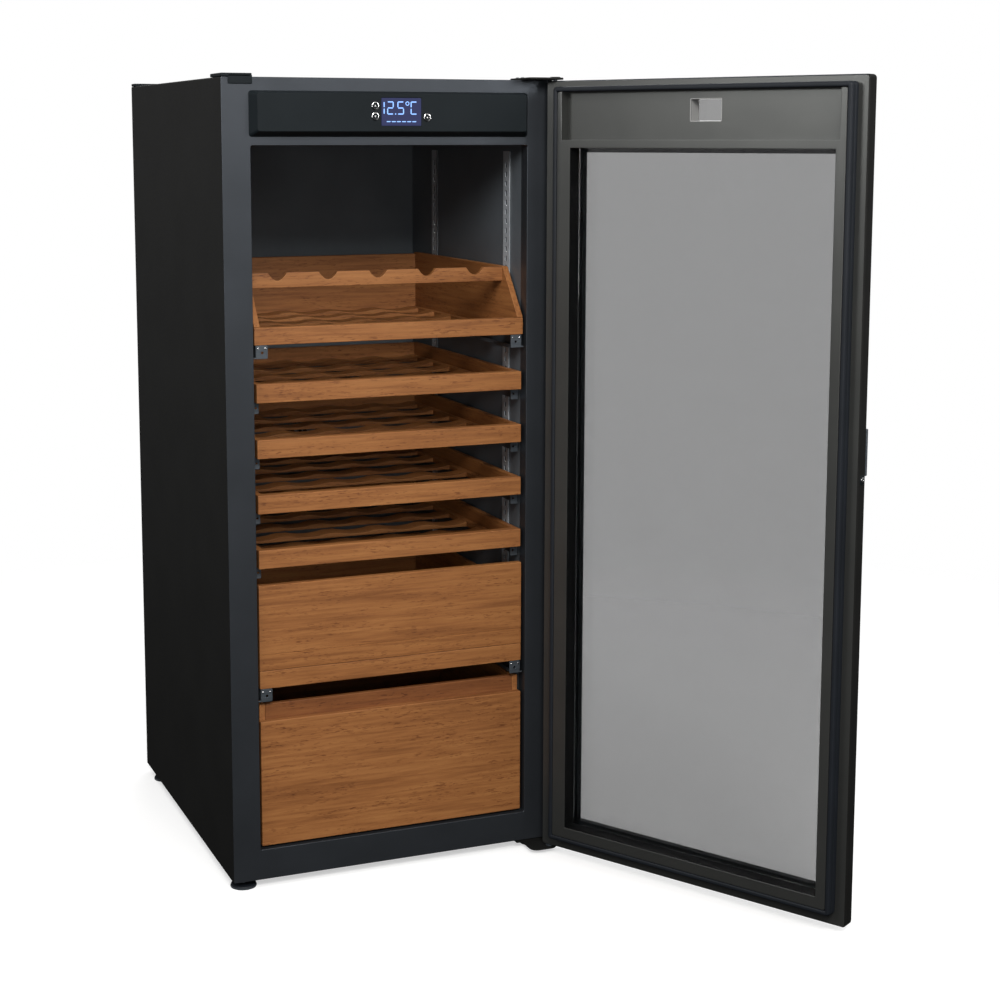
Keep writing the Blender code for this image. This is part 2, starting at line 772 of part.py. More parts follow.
def make_runners(name, top, height, back=SHELF_BACK, wall=RUNNER_X, flange="top"):
    """A pair of angle runners, each with a flange that the load slides on."""
    metal = RUNNER_METAL
    for side in ("left", "right"):
        low = (wall, RUNNER_FRONT, top - height)
        high = (RUNNER_REACH, back, top)
        piece = block(f"{name}_runner_{side}", *sided(side, low, high), "cabinet", STEEL)
        if flange == "top":
            cut(piece, sided(side, (wall + metal, 0, 0), (0.1, 1, top - metal)))
        else:
            cut(piece, sided(side, (wall + metal, 0, top - height + metal), (0.1, 1, 2)))


def make_slides(name, top):
    """A pair of channels under a drawer's sides, open towards its middle."""
    front, back = FRONT_Y + SLIDE_SETBACK, SHELF_BACK - SLIDE_BACKSET
    for side in ("left", "right"):
        low = (SLIDE_X[0], front, top - SLIDE_HEIGHT)
        high = (SLIDE_X[1], back, top - GAP)
        piece = block(f"{name}_slide_{side}", *sided(side, low, high), name, STEEL)
        metal = SLIDE_METAL
        cut(
            piece,
            sided(
                side,
                (SLIDE_X[0] + metal, 0, low[2] + metal),
                (0.1, 1, high[2] - metal),
            ),
        )


def slots_in(bottom):
    """Gaps between the cross slats of a shelf's floor."""
    first, last = FRONT_Y + SLOT_ENDS, SHELF_BACK - SLOT_ENDS
    gaps = SLATS - 1
    step = (last - first - SLOT_DEPTH) / (gaps - 1)
    return [
        (
            (SLOT_SIDE, first + number * step, bottom - 0.1),
            (WIDTH - SLOT_SIDE, first + number * step + SLOT_DEPTH, bottom + FLOOR + 0.002),
        )
        for number in range(gaps)
    ]


def make_shelves():
    for number in range(SHELF_COUNT):
        name = f"shelf_{number + 1}"
        bottom = shelf_z(number)
        left = SHELF_SIDE
        low = (left, FRONT_Y, bottom)
        high = (WIDTH - left, SHELF_BACK, bottom + SHELF_HEIGHT)
        tray = block(name + "_tray", low, high, name, WOOD)
        inside_low = (left + BOARD, FRONT_Y + FRONT_RAIL, bottom + FLOOR)
        inside_high = (WIDTH - left - BOARD, SHELF_BACK - BOARD, bottom + 0.2)
        cut(tray, (inside_low, inside_high))
        cut(tray, *slots_in(bottom))
        make_runners(name, bottom - RUNNER_DROP, SHELF_RUNNER)


def make_display_shelf():
    left, bottom = DISPLAY_SIDE, DISPLAY_Z
    rail_top = bottom + DISPLAY_RAIL
    tray = block(
        "display_shelf_tray",
        (left, FRONT_Y, bottom),
        (WIDTH - left, SHELF_BACK, rail_top),
        "display_shelf",
        WOOD,
    )
    cut(
        tray,
        (
            (left + BOARD, FRONT_Y + FRONT_RAIL, bottom + FLOOR),
            (WIDTH - left - BOARD, SHELF_BACK - BOARD, bottom + 0.5),
        ),
    )
    cut(tray, *slots_in(bottom))
    side = [
        (FRONT_Y, bottom),
        (SHELF_BACK, bottom),
        (SHELF_BACK, DISPLAY_TOP),
        (NECK_REST_Y, DISPLAY_TOP),
        (FRONT_Y, rail_top),
    ]
    for low_x, high_x in ((left, left + BOARD), (WIDTH - left - BOARD, WIDTH - left)):
        join(tray, outline("side_board", side, low_x, high_x, "display_shelf"))
    inset = NECK_INSET
    neck_front = NECK_REST_Y + 2 * inset
    join_box(
        tray,
        (left + inset, neck_front, DISPLAY_TOP - inset - NECK_BOARD_HEIGHT),
        (WIDTH - left - inset, neck_front + NECK_BOARD, DISPLAY_TOP - inset),
    )
    make_slides("display_shelf", bottom)
    make_runners("display_shelf", bottom - SLIDE_DROP, DRAWER_RUNNER, flange="bottom")


def make_upper_drawer():
    left = SHELF_SIDE
    box = block(
        "upper_drawer_box",
        (left, FRONT_Y + FRONT_BOARD + GAP, UPPER_Z),
        (WIDTH - left, SHELF_BACK, UPPER_BOX_TOP),
        "upper_drawer",
        WOOD,
    )
    join_box(
        box,
        (DRAWER_SIDE, FRONT_Y, UPPER_Z),
        (WIDTH - DRAWER_SIDE, FRONT_Y + FRONT_BOARD + RAIL_OVERLAP, UPPER_RAIL_TOP),
    )
    cut(
        box,
        (
            (left + BOARD, FRONT_Y + FRONT_BOARD + BOARD, UPPER_Z + FLOOR),
            (WIDTH - left - BOARD, SHELF_BACK - BOARD, 1.0),
        ),
    )
    block(
        "upper_drawer_front",
        (DRAWER_SIDE, FRONT_Y, UPPER_RAIL_TOP + GAP),
        (WIDTH - DRAWER_SIDE, FRONT_Y + FRONT_BOARD, UPPER_FRONT_TOP),
        "upper_drawer",
        WOOD,
    )
    make_slides("upper_drawer", UPPER_Z)
    make_runners("upper_drawer", UPPER_Z - SLIDE_DROP, DRAWER_RUNNER, flange="bottom")


def make_lower_drawer():
    left = SHELF_SIDE
    front = FRONT_Y + FRONT_BOARD
    box = block(
        "lower_drawer",
        (left, front - FRONT_OVERLAP, LOWER_BOX_Z),
        (WIDTH - left, LOWER_BACK, LOWER_BOX_TOP),
        "lower_drawer",
        WOOD,
    )
    join_box(
        box,
        (DRAWER_SIDE, FRONT_Y, LOWER_Z),
        (WIDTH - DRAWER_SIDE, front, LOWER_FRONT_TOP),
    )
    cut(
        box,
        (
            (left + BOARD, front + BOARD, LOWER_BOX_Z + FLOOR),
            (WIDTH - left - BOARD, LOWER_BACK - BOARD, 1.0),
        ),
    )
    runner_top = LOWER_BOX_Z - LOWER_CLEARANCE - RUNNER_METAL + LOWER_RUNNER
    make_runners(
        "lower_drawer", runner_top, LOWER_RUNNER, LOWER_BACK, WALL_X + GAP, "bottom"
    )


make_pivots()
make_case()
make_refrigeration()
make_control_bar()
make_hinges()
make_feet()
make_door()
make_strips()
make_shelves()
make_display_shelf()
make_upper_drawer()
make_lower_drawer()
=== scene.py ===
"""The looks of the wine cooler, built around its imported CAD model.

Pieces are laid out in cabinet coordinates, which start at the case's left front bottom corner:
X runs right, Y back and Z up. CASE carries them into the frame. Door pieces are laid out as the
door stands closed, and DOOR swings them open with it.
"""

import json
from itertools import product
from math import cos, pi, radians, sin

import bmesh
import bpy
from mathutils import Matrix, Vector


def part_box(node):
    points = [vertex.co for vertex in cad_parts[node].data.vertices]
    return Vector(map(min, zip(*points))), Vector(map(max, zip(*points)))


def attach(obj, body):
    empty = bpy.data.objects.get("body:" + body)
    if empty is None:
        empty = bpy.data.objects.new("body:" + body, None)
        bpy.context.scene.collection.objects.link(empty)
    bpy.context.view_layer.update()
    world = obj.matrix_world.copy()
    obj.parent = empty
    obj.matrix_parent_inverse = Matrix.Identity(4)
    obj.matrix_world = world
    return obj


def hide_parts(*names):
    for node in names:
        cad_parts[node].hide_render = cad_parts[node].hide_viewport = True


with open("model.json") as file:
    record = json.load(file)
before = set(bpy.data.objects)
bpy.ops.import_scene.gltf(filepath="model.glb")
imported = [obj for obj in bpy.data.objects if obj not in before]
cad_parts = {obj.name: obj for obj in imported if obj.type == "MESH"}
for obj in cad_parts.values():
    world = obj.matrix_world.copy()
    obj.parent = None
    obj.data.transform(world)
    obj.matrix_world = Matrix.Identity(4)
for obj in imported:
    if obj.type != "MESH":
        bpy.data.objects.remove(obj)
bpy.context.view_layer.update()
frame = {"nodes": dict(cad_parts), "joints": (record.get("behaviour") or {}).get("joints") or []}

JOINTS = {joint["name"]: joint for joint in frame["joints"]}
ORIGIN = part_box("face_frame")[0]
CASE = Matrix.Translation(ORIGIN)
HINGE = Vector(JOINTS["door_hinge"]["pos_m"])
OPENED = radians(-JOINTS["door_hinge"]["range_deg"][0])
SWING = Matrix.Translation(HINGE) @ Matrix.Rotation(OPENED, 4, "Z") @ Matrix.Translation(-HINGE)
DOOR = SWING @ CASE


def span(node, place=CASE):
    """The lowest and highest corner of a CAD node, in cabinet or closed-door coordinates."""
    back = place.inverted()
    points = [back @ vertex.co for vertex in frame["nodes"][node].data.vertices]
    return Vector(map(min, zip(*points))), Vector(map(max, zip(*points)))


# Camera, in cabinet coordinates, with its angles in degrees

CAMERA_AT = Vector((-0.9009, -3.3974, 1.4568))
LOOKS_DOWN, LOOKS_RIGHT = 7.825, 21.965
SENSOR, FOCAL_LENGTH = 36, 66.74
SHIFT = (0.0449, -0.1074)


def make_camera():
    camera = bpy.data.objects.new("camera", bpy.data.cameras.new("camera"))
    bpy.context.scene.collection.objects.link(camera)
    camera.location = CASE @ CAMERA_AT
    camera.rotation_euler = (radians(90 - LOOKS_DOWN), 0, radians(-LOOKS_RIGHT))
    camera.data.sensor_width = SENSOR
    camera.data.lens = FOCAL_LENGTH
    camera.data.shift_x, camera.data.shift_y = SHIFT
    camera.data.clip_end = 60
    bpy.context.scene.camera = camera


# Shader helpers


def feed(tree, socket, value):
    """Sets a shader input, or links it to the socket that feeds it."""
    if isinstance(value, bpy.types.NodeSocket):
        tree.links.new(value, socket)
    else:
        socket.default_value = value


def node(tree, kind, settings=None, **inputs):
    """A shader node; an input is a value, or the socket that feeds it."""
    made = tree.nodes.new("ShaderNode" + kind)
    for key, value in (settings or {}).items():
        setattr(made, key, value)
    for key, value in inputs.items():
        feed(tree, made.inputs[key.replace("_", " ")], value)
    return made


def ramp(tree, factor, *stops):
    """A colour ramp through (position, colour) stops."""
    made = node(tree, "ValToRGB", Fac=factor)
    elements = made.color_ramp.elements
    while len(elements) < len(stops):
        elements.new(0.5)
    for element, (position, colour) in zip(elements, stops):
        element.position = position
        element.color = (*colour, 1.0) if isinstance(colour, tuple) else (*[colour] * 3, 1.0)
    return made.outputs["Color"]


def principled(name, **inputs):
    material = bpy.data.materials.new(name)
    material.use_nodes = True
    shader = material.node_tree.nodes["Principled BSDF"]
    for key, value in inputs.items():
        socket = shader.inputs[key.replace("_", " ")]
        socket.default_value = (*value, 1.0) if isinstance(value, tuple) else value
    return material, material.node_tree, shader


def spread(tree, stretch=(1, 1, 1)):
    """Object coordinates, shifted for each object so that no two pieces share their grain."""
    place = node(tree, "TexCoord").outputs["Object"]
    chance = node(tree, "ObjectInfo").outputs["Random"]
    shift = node(tree, "VectorMath", {"operation": "SCALE"}, Vector=(31, 17, 23), Scale=chance)
    moved = node(tree, "VectorMath", {"operation": "ADD"})
    tree.links.new(place, moved.inputs[0])
    tree.links.new(shift.outputs[0], moved.inputs[1])
    return node(tree, "Mapping", Vector=moved.outputs[0], Scale=stretch).outputs["Vector"]


def noise(tree, scale, detail=2.0, roughness=0.5, stretch=(1, 1, 1), distortion=0.0):
    made = node(
        tree, "TexNoise", Vector=spread(tree, stretch), Scale=scale, Detail=detail,
        Roughness=roughness, Distortion=distortion,
    )
    return made.outputs["Fac"]


def bump(tree, shader, height, strength, distance):
    made = node(tree, "Bump", Height=height, Strength=strength, Distance=distance)
    tree.links.new(made.outputs["Normal"], shader.inputs["Normal"])


def maths(tree, operation, *values):
    made = node(tree, "Math", {"operation": operation})
    for socket, value in zip(made.inputs, values):
        feed(tree, socket, value)
    return made.outputs[0]


def coated(name, dark, light, rough, grain, strength, distance=0.0003, **inputs):
    """A painted, coated or moulded surface: fine texture, with faint blotches in tone and gloss."""
    material, tree, shader = principled(name, **inputs)
    blotch = noise(tree, 9, 3)
    tree.links.new(ramp(tree, blotch, (0.3, dark), (0.7, light)), shader.inputs["Base Color"])
    fine = noise(tree, grain, 2)
    tree.links.new(
        ramp(tree, fine, (0.3, rough[0]), (0.7, rough[1])), shader.inputs["Roughness"]
    )
    bump(tree, shader, fine, strength, distance)
    return material


def weighed(tree, first, second, share):
    """The first value by its share, and the second by the rest."""
    return maths(
        tree, "ADD", maths(tree, "MULTIPLY", first, share),
        maths(tree, "MULTIPLY", second, 1 - share),
    )


def multiplied(tree, amount, base, tone):
    """A colour multiplied by another, by some amount."""
    made = node(
        tree, "MixRGB", {"blend_type": "MULTIPLY"}, Fac=amount, Color1=base, Color2=tone
    )
    return made.outputs[0]


def brushed(name, dark, light, rough, **inputs):
    """Rolled or brushed metal, with lines along each piece's own X."""
    material, tree, shader = principled(name, **inputs)
    lines = noise(tree, 1, 3, 0.6, (14, 900, 900))
    mixed = weighed(tree, lines, noise(tree, 24, 3, 0.6), 0.5)
    tree.links.new(ramp(tree, mixed, (0.35, dark), (0.65, light)), shader.inputs["Base Color"])
    tree.links.new(ramp(tree, lines, (0.3, rough[0]), (0.7, rough[1])), shader.inputs["Roughness"])
    bump(tree, shader, lines, 0.12, 0.0002)
    return material


def wood(name, dark, middle, light):
    """Oiled wood: soft figure, fine fibres and short dark pores, all along each board's own X."""
    material, tree, shader = principled(name, Specular_IOR_Level=0.35)
    figure = noise(tree, 1, 4, 0.55, (2.2, 21, 21), 0.5)
    streaks = noise(tree, 1, 3, 0.55, (7, 150, 150), 0.3)
    mixed = weighed(tree, figure, streaks, 0.42)
    base = ramp(tree, mixed, (0.36, dark), (0.5, middle), (0.64, light))
    fibres = noise(tree, 1, 3, 0.6, (16, 520, 520))
    toned = multiplied(tree, 1.0, base, ramp(tree, fibres, (0.25, 0.86), (0.75, 1.0)))
    pores = noise(tree, 1, 2, 0.6, (62, 430, 430))
    patches = noise(tree, 1, 2, 0.5, (9, 45, 45))
    fleck = maths(
        tree, "MULTIPLY", ramp(tree, pores, (0.57, 0.0), (0.64, 1.0)),
        ramp(tree, patches, (0.42, 0.12), (0.62, 0.85)),
    )
    pore_tone = (0.45, 0.33, 0.24, 1)
    tree.links.new(multiplied(tree, fleck, toned, pore_tone), shader.inputs["Base Color"])
    tree.links.new(ramp(tree, fibres, (0.3, 0.46), (0.7, 0.60)), shader.inputs["Roughness"])
    height = maths(tree, "SUBTRACT", maths(tree, "MULTIPLY", fibres, 0.4), fleck)
    bump(tree, shader, height, 0.20, 0.0003)
    return material


def clear_glass(name, tint):
    return principled(
        name, Base_Color=tint, Roughness=0.0, IOR=1.5, Transmission_Weight=1.0
    )[0]


def glowing(name, colour, strength, roughness):
    material, tree, shader = principled(
        name, Base_Color=(0.006, 0.006, 0.009), Roughness=roughness, Specular_IOR_Level=0.25,
        Emission_Strength=strength,
    )
    dotted = multiplied(tree, 0.35, (*colour, 1), noise(tree, 700, 1))
    tree.links.new(dotted, shader.inputs["Emission Color"])
    return material


LOOKS = {
    "paint": coated(
        "charcoal_paint", (0.062, 0.069, 0.079), (0.072, 0.080, 0.092), (0.32, 0.40), 1500, 0.08,
        Metallic=0.8,
    ),
    "black": coated(
        "black_powder_coat", (0.0068, 0.0068, 0.0063), (0.0092, 0.0092, 0.0086), (0.5, 0.66), 1100,
        0.22, Specular_IOR_Level=0.16,
    ),
    "plastic": coated(
        "black_plastic", (0.0062, 0.0090, 0.0108), (0.0084, 0.0118, 0.0140), (0.46, 0.60), 2200,
        0.12, Specular_IOR_Level=0.12,
    ),
    "inner": coated(
        "door_liner_coat", (0.080, 0.082, 0.079), (0.092, 0.094, 0.090), (0.32, 0.40), 1800, 0.08,
        Metallic=0.75,
    ),
    "liner": coated(
        "liner_sheet", (0.072, 0.082, 0.092), (0.086, 0.098, 0.110), (0.38, 0.50), 900, 0.08,
        Specular_IOR_Level=0.35,
    ),
    "jamb": coated(
        "jamb_black", (0.0025, 0.0027, 0.0028), (0.0035, 0.0037, 0.0038), (0.55, 0.65), 1100, 0.1,
        Specular_IOR_Level=0.08,
    ),
    "rubber": coated(
        "seal_rubber", (0.0065, 0.0085, 0.0120), (0.0090, 0.0115, 0.0160), (0.45, 0.62), 1300, 0.16,
        Specular_IOR_Level=0.3,
    ),
    "wood": wood(
        "oiled_wood", (0.200, 0.072, 0.0195), (0.280, 0.108, 0.031), (0.340, 0.142, 0.043)
    ),
    # A darker, redder copy of the oiled wood: the real dark joints and plugs, and painted shade on
    # the lower drawer's recessed inner boards.
    "dark_wood_and_painted_shade": wood(
        "oiled_wood_dark_and_painted_shade", (0.140, 0.045, 0.012), (0.190, 0.065, 0.018), (0.235, 0.088, 0.025)
    ),
    "steel": brushed(
        "zinc_steel", (0.075, 0.089, 0.104), (0.13, 0.148, 0.168), (0.34, 0.50), Metallic=0.7
    ),
    # Wall strip steel, made lighter than the zinc steel the strips are: painted light for the shade
    # they stand in.
    "strip": brushed(
        "strip_steel_painted_light", (0.34, 0.37, 0.40), (0.46, 0.49, 0.52), (0.34, 0.50), Metallic=0.3
    ),
    "chrome": brushed(
        "bright_chrome", (0.70, 0.70, 0.70), (0.82, 0.82, 0.82), (0.06, 0.14), Metallic=1.0
    ),
    "alloy": brushed(
        "condenser_aluminium", (0.45, 0.46, 0.47), (0.62, 0.63, 0.64), (0.3, 0.5), Metallic=1.0
    ),
    "enamel": coated(
        "compressor_enamel", (0.012, 0.012, 0.012), (0.018, 0.018, 0.018), (0.2, 0.32), 700, 0.08
    ),
    "glass": clear_glass("tinted_glass", (0.538, 0.538, 0.540)),
    "window": clear_glass("window_glass", (0.31, 0.31, 0.31)),
    "screen": glowing("display_screen", (0.019, 0.026, 0.105), 1.1, 0.5),
    "digits": glowing("display_digits", (0.26, 0.48, 0.98), 2.0, 0.4),
    "sleeve": coated(
        "pale_sleeve", (0.27, 0.27, 0.265), (0.31, 0.31, 0.305), (0.4, 0.5), 1500, 0.05
    ),
    "white": coated(
        "printed_white", (0.60, 0.60, 0.60), (0.68, 0.68, 0.68), (0.4, 0.5), 1500, 0.05
    ),
}


# The material slot of each look, where a piece doesn't name another
SLOTS = {
    "paint": "frame_charcoal", "black": "case_black", "plastic": "black_plastic",
    "inner": "black_plastic", "white": "black_plastic", "liner": "liner_plastic",
    "rubber": "seal_rubber", "wood": "oiled_wood", "dark_wood_and_painted_shade": "oiled_wood",
    "steel": "zinc_steel", "strip": "zinc_steel", "chrome": "bright_chrome",
    "glass": "tinted_glass", "window": "tinted_glass", "screen": "display_lens",
    "digits": "display_lens",
}


# Mesh helpers

AXES = {
    "XY": Matrix(),
    "XZ": Matrix(((1, 0, 0, 0), (0, 0, 1, 0), (0, 1, 0, 0), (0, 0, 0, 1))),
    "YZ": Matrix(((0, 0, 1, 0), (1, 0, 0, 0), (0, 1, 0, 0), (0, 0, 0, 1))),
}
ALONG = {"X": Matrix(), "Y": Matrix.Rotation(pi / 2, 4, "Z"), "Z": Matrix.Rotation(-pi / 2, 4, "Y")}
UP = {"X": Matrix.Rotation(pi / 2, 4, "Y"), "Y": Matrix.Rotation(-pi / 2, 4, "X"), "Z": Matrix()}


def add_box(shape, low, high, radius=0.0, steps=2):
    low, high = Vector(low), Vector(high)
    place = Matrix.Translation((low + high) / 2) @ Matrix.Diagonal((*(high - low), 1.0))
    made = bmesh.ops.create_cube(shape, size=1.0, matrix=place)
    if radius:
        edges = {edge for vertex in made["verts"] for edge in vertex.link_edges}
        bmesh.ops.bevel(
            shape, geom=list(edges), offset=radius, segments=steps, profile=0.5,
            affect="EDGES", clamp_overlap=True,
        )


def add_loft(shape, loops, closed=False, caps=True):
    """Skins loops of equally many points, in order."""
    rings = [[shape.verts.new(point) for point in loop] for loop in loops]
    pairs = list(zip(rings, rings[1:] + rings[:1])) if closed else list(zip(rings, rings[1:]))
    faces = []
    for first, second in pairs:
        for index in range(len(first)):
            after = (index + 1) % len(first)
            corners = (first[index], first[after], second[after], second[index])
            faces.append(shape.faces.new(corners))
    if caps and not closed:
        faces.append(shape.faces.new(rings[0]))
        faces.append(shape.faces.new(rings[-1]))
    bmesh.ops.recalc_face_normals(shape, faces=faces)


def ring(radius, height, sides, place):
    return [
        place @ Vector((radius * cos(2 * pi * k / sides), radius * sin(2 * pi * k / sides), height))
        for k in range(sides)
    ]


def add_turned(shape, profile, centre, axis="Z", sides=28):
    """A turned solid through (radius, height) points along an axis."""
    place = Matrix.Translation(centre) @ UP[axis]
    add_loft(shape, [ring(radius, height, sides, place) for radius, height in profile])


def add_pin(shape, centre, radius, length, edge):
    """An upright pin with its ends eased."""
    half = length / 2
    profile = [
        (radius - edge, -half), (radius, edge - half), (radius, half - edge),
        (radius - edge, half),
    ]
    add_turned(shape, profile, centre, "Z", 24)


def rounded(low, high, radius, steps=5):
    """The points of a rectangle with round corners, anticlockwise."""
    points = []
    corners = (
        (high[0] - radius, low[1] + radius, -90),
        (high[0] - radius, high[1] - radius, 0),
        (low[0] + radius, high[1] - radius, 90),
        (low[0] + radius, low[1] + radius, 180),
    )
    for x, y, start in corners:
        for step in range(steps + 1):
            angle = radians(start + 90 * step / steps)
            points.append((x + radius * cos(angle), y + radius * sin(angle)))
    return points


def circle(x, y, radius, sides=24):
    turns = [2 * pi * k / sides for k in range(sides)]
    return [(x + radius * cos(turn), y + radius * sin(turn)) for turn in turns]


def add_plate(shape, plane, outline, holes, near, far, edge=0.0):
    """A flat sheet with holes, from near to far across the plane, with its edges eased."""
    curve = bpy.data.curves.new("plate", "CURVE")
    curve.dimensions = "2D"
    curve.fill_mode = "BOTH"
    curve.extrude = (far - near) / 2 - edge
    curve.bevel_depth = edge
    curve.bevel_resolution = 1
    curve.offset = -edge
    for points, turn in [(outline, 1)] + [(hole, -1) for hole in holes]:
        line = curve.splines.new("POLY")
        line.points.add(len(points) - 1)
        for place, (u, v) in zip(line.points, points[::turn]):
            place.co = (u, v, 0.0, 1.0)
        line.use_cyclic_u = True
    drawn = bpy.data.objects.new("plate", curve)
    bpy.context.scene.collection.objects.link(drawn)
    bpy.context.view_layer.update()
    filled = drawn.evaluated_get(bpy.context.evaluated_depsgraph_get())
    mesh = bpy.data.meshes.new_from_object(filled)
    bpy.data.objects.remove(drawn, do_unlink=True)
    mesh.transform(Matrix.Translation((0, 0, (near + far) / 2)))
    mesh.transform(AXES[plane])
    if plane == "XZ":
        mesh.flip_normals()
    known = len(shape.verts)
    shape.from_mesh(mesh)
    shape.verts.ensure_lookup_table()
    bmesh.ops.remove_doubles(shape, verts=shape.verts[known:], dist=0.00001)
    bpy.data.meshes.remove(mesh)


def inset(low, high, amount, radius, steps=5):
    """The rounded outline of a box in XZ, moved in by an amount on every side."""
    return rounded(
        (low.x + amount, low.z + amount), (high.x - amount, high.z - amount), radius, steps
    )


def add_moulding(shape, low, high, radius, profile):
    """A moulding round a rectangle in XZ; the profile is (inset, y) points."""
    loops = []
    for inward, y in profile:
        corners = (low[0] + inward, low[1] + inward), (high[0] - inward, high[1] - inward)
        loops.append(flat(rounded(*corners, max(radius - inward, 0.0002)), y))
    add_loft(shape, loops, closed=True)


def piece(name, shape, look, body="cabinet", slot=None, replaces=(), grain=None, angle=50):
    """Turns a bmesh in cabinet or closed-door coordinates into a piece that rides on a body."""
    mesh = bpy.data.meshes.new(name)
    shape.to_mesh(mesh)
    shape.free()
    mesh.materials.append(LOOKS[look])
    local = Matrix()
    if grain:
        corners = [vertex.co for vertex in mesh.vertices]
        low, high = Vector(map(min, zip(*corners))), Vector(map(max, zip(*corners)))
        local = Matrix.Translation((low + high) / 2) @ ALONG[grain]
        mesh.transform(local.inverted())
    mesh.shade_smooth()
    mesh.set_sharp_from_angle(angle=radians(angle))
    made = bpy.data.objects.new(name, mesh)
    bpy.context.scene.collection.objects.link(made)
    made.matrix_world = (DOOR if body in ("door", "lock") else CASE) @ local
    soft = made.modifiers.new("flat faces stay flat", "WEIGHTED_NORMAL")
    soft.keep_sharp = True
    slot = slot or SLOTS[look]
    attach(made, body)
    if replaces:
        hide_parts(*replaces)
    return made


def sided(side, low, high):
    """A box given for the left side, mirrored for the right."""
    if side == "left":
        return low, high
    return (WIDTH - high[0], *low[1:]), (WIDTH - low[0], *high[1:])


def add_screw(shape, centre, radius, axis="Y", out=-1.0):
    """A pan head with a cross recess, standing out along the axis."""
    flip = Matrix.Scale(out, 4, UP[axis] @ Vector((0, 0, 1)))
    head = bmesh.new()
    tall = radius * 0.55
    profile = [
        (radius, 0), (radius, tall * 0.35), (radius * 0.82, tall * 0.8), (radius * 0.45, tall),
    ]
    add_turned(head, profile, (0, 0, 0), axis, 16)
    long, wide = radius * 0.62, radius * 0.11
    for turn in (0, pi / 2):
        bar = bmesh.new()
        add_box(bar, (-long, -wide, tall * 0.86), (long, wide, tall * 1.06))
        place = UP[axis] @ Matrix.Rotation(turn, 4, "Z")
        bmesh.ops.transform(bar, matrix=place, verts=bar.verts)
        merge(head, bar)
    bmesh.ops.transform(head, matrix=Matrix.Translation(centre) @ flip, verts=head.verts)
    if out < 0:
        bmesh.ops.reverse_faces(head, faces=head.faces)
    merge(shape, head)


def merge(shape, other):
    mesh = bpy.data.meshes.new("part")
    other.to_mesh(mesh)
    other.free()
    shape.from_mesh(mesh)
    bpy.data.meshes.remove(mesh)


# Driving dimensions read from the frame

WIDTH, HEIGHT = (span("face_frame")[1] - span("face_frame")[0]).xz
DEPTH = span("back_panel")[1].y
LINER_SHEET = 0.0015
STILE = span("inner_liner")[0].x + LINER_SHEET
OPEN_LOW = (STILE, span("inner_liner")[0].z + LINER_SHEET)
OPEN_HIGH = (WIDTH - STILE, span("inner_liner")[1].z - LINER_SHEET)


# Case


def make_wrapper():
    low, high = span("outer_wrapper")
    wall, bend = 0.001, 0.003

    def arch(inward):
        """A sheet face of the case, from its right foot over the top to its left foot."""
        corners = (low.x + inward, low.z - 0.01), (high.x - inward, high.z - inward)
        over = [point for point in rounded(*corners, bend - inward, 4) if point[1] > low.z]
        return [(high.x - inward, low.z)] + over + [(low.x + inward, low.z)]

    shape = bmesh.new()
    add_plate(shape, "XZ", arch(0.0) + arch(wall)[::-1], [], low.y, high.y)
    piece("case_wrapper", shape, "black", replaces=["outer_wrapper"])


def make_face_frame():
    low, high = span("face_frame")
    shape = bmesh.new()
    plate, lip = 0.0018, 0.0015
    opening = rounded(OPEN_LOW, OPEN_HIGH, 0.003)
    outline = rounded((0, 0), (WIDTH, HEIGHT), 0.003)
    add_plate(shape, "XZ", outline, [opening], low.y, low.y + plate, 0.00085)
    behind = plate - 0.0003
    profile = [(-lip, behind), (0.0, behind), (0.0, high.y), (-lip, high.y)]
    add_moulding(shape, OPEN_LOW, OPEN_HIGH, 0.003, profile)
    piece("front_frame", shape, "paint", replaces=["face_frame"])


def make_back():
    low, high = span("back_panel")
    slots = [
        rounded((left, 0.045 + 0.028 * row), (left + 0.085, 0.055 + 0.028 * row), 0.0049, 4)
        for row in range(7) for left in (0.200, 0.305, 0.410, 0.515)
    ]
    slots.append(inset(*span("power_inlet"), -0.0003, 0.002, 3))
    rim = 0.001
    shape = bmesh.new()
    outline = rounded((rim, rim), (WIDTH - rim, HEIGHT - rim), 0.004)
    add_plate(shape, "XZ", outline, slots, low.y, high.y - 0.0002, 0.0003)
    for left in (0.10, 0.34):
        bead = rounded((left, 0.34), (left + 0.24, 1.47), 0.02)
        within = rounded((left + 0.006, 0.346), (left + 0.234, 1.464), 0.015)
        add_plate(shape, "XZ", bead, [within], high.y - 0.0006, high.y, 0.0002)
    piece("rear_panel", shape, "black", replaces=["back_panel"])
    shape = bmesh.new()
    edge = 0.012
    places = list(product((edge, 0.230, 0.450, WIDTH - edge), (edge, HEIGHT - edge)))
    places += product((edge, WIDTH - edge), (0.300, 0.600, 0.900, 1.200))
    for x, z in places:
        add_screw(shape, (x, high.y - 0.0018, z), 0.0036, "Y", 1.0)
    piece("rear_screws", shape, "steel")


def make_inlet():
    low, high = span("power_inlet")
    floor = high.y - 0.020
    shape = bmesh.new()
    rim = inset(low, high, 0, 0.003, 3)
    add_plate(shape, "XZ", rim, [inset(low, high, 0.003, 0.002, 3)], floor, high.y - 0.0002, 0.0005)
    add_plate(shape, "XZ", rim, [], low.y, floor - 0.0001)
    piece("inlet_housing", shape, "plastic", replaces=["power_inlet"])
    shape = bmesh.new()
    middle, half = (low + high) / 2, (high.x - low.x) / 2
    for side in (-1, 0, 1):
        x = middle.x + side * half * 0.42
        z = middle.z + (0.003 if side == 0 else -0.002)
        pin_low = (x - 0.001, floor - 0.001, z - 0.002)
        add_box(shape, pin_low, (x + 0.001, high.y - 0.006, z + 0.002), 0.0004)
    piece("inlet_pins", shape, "chrome")


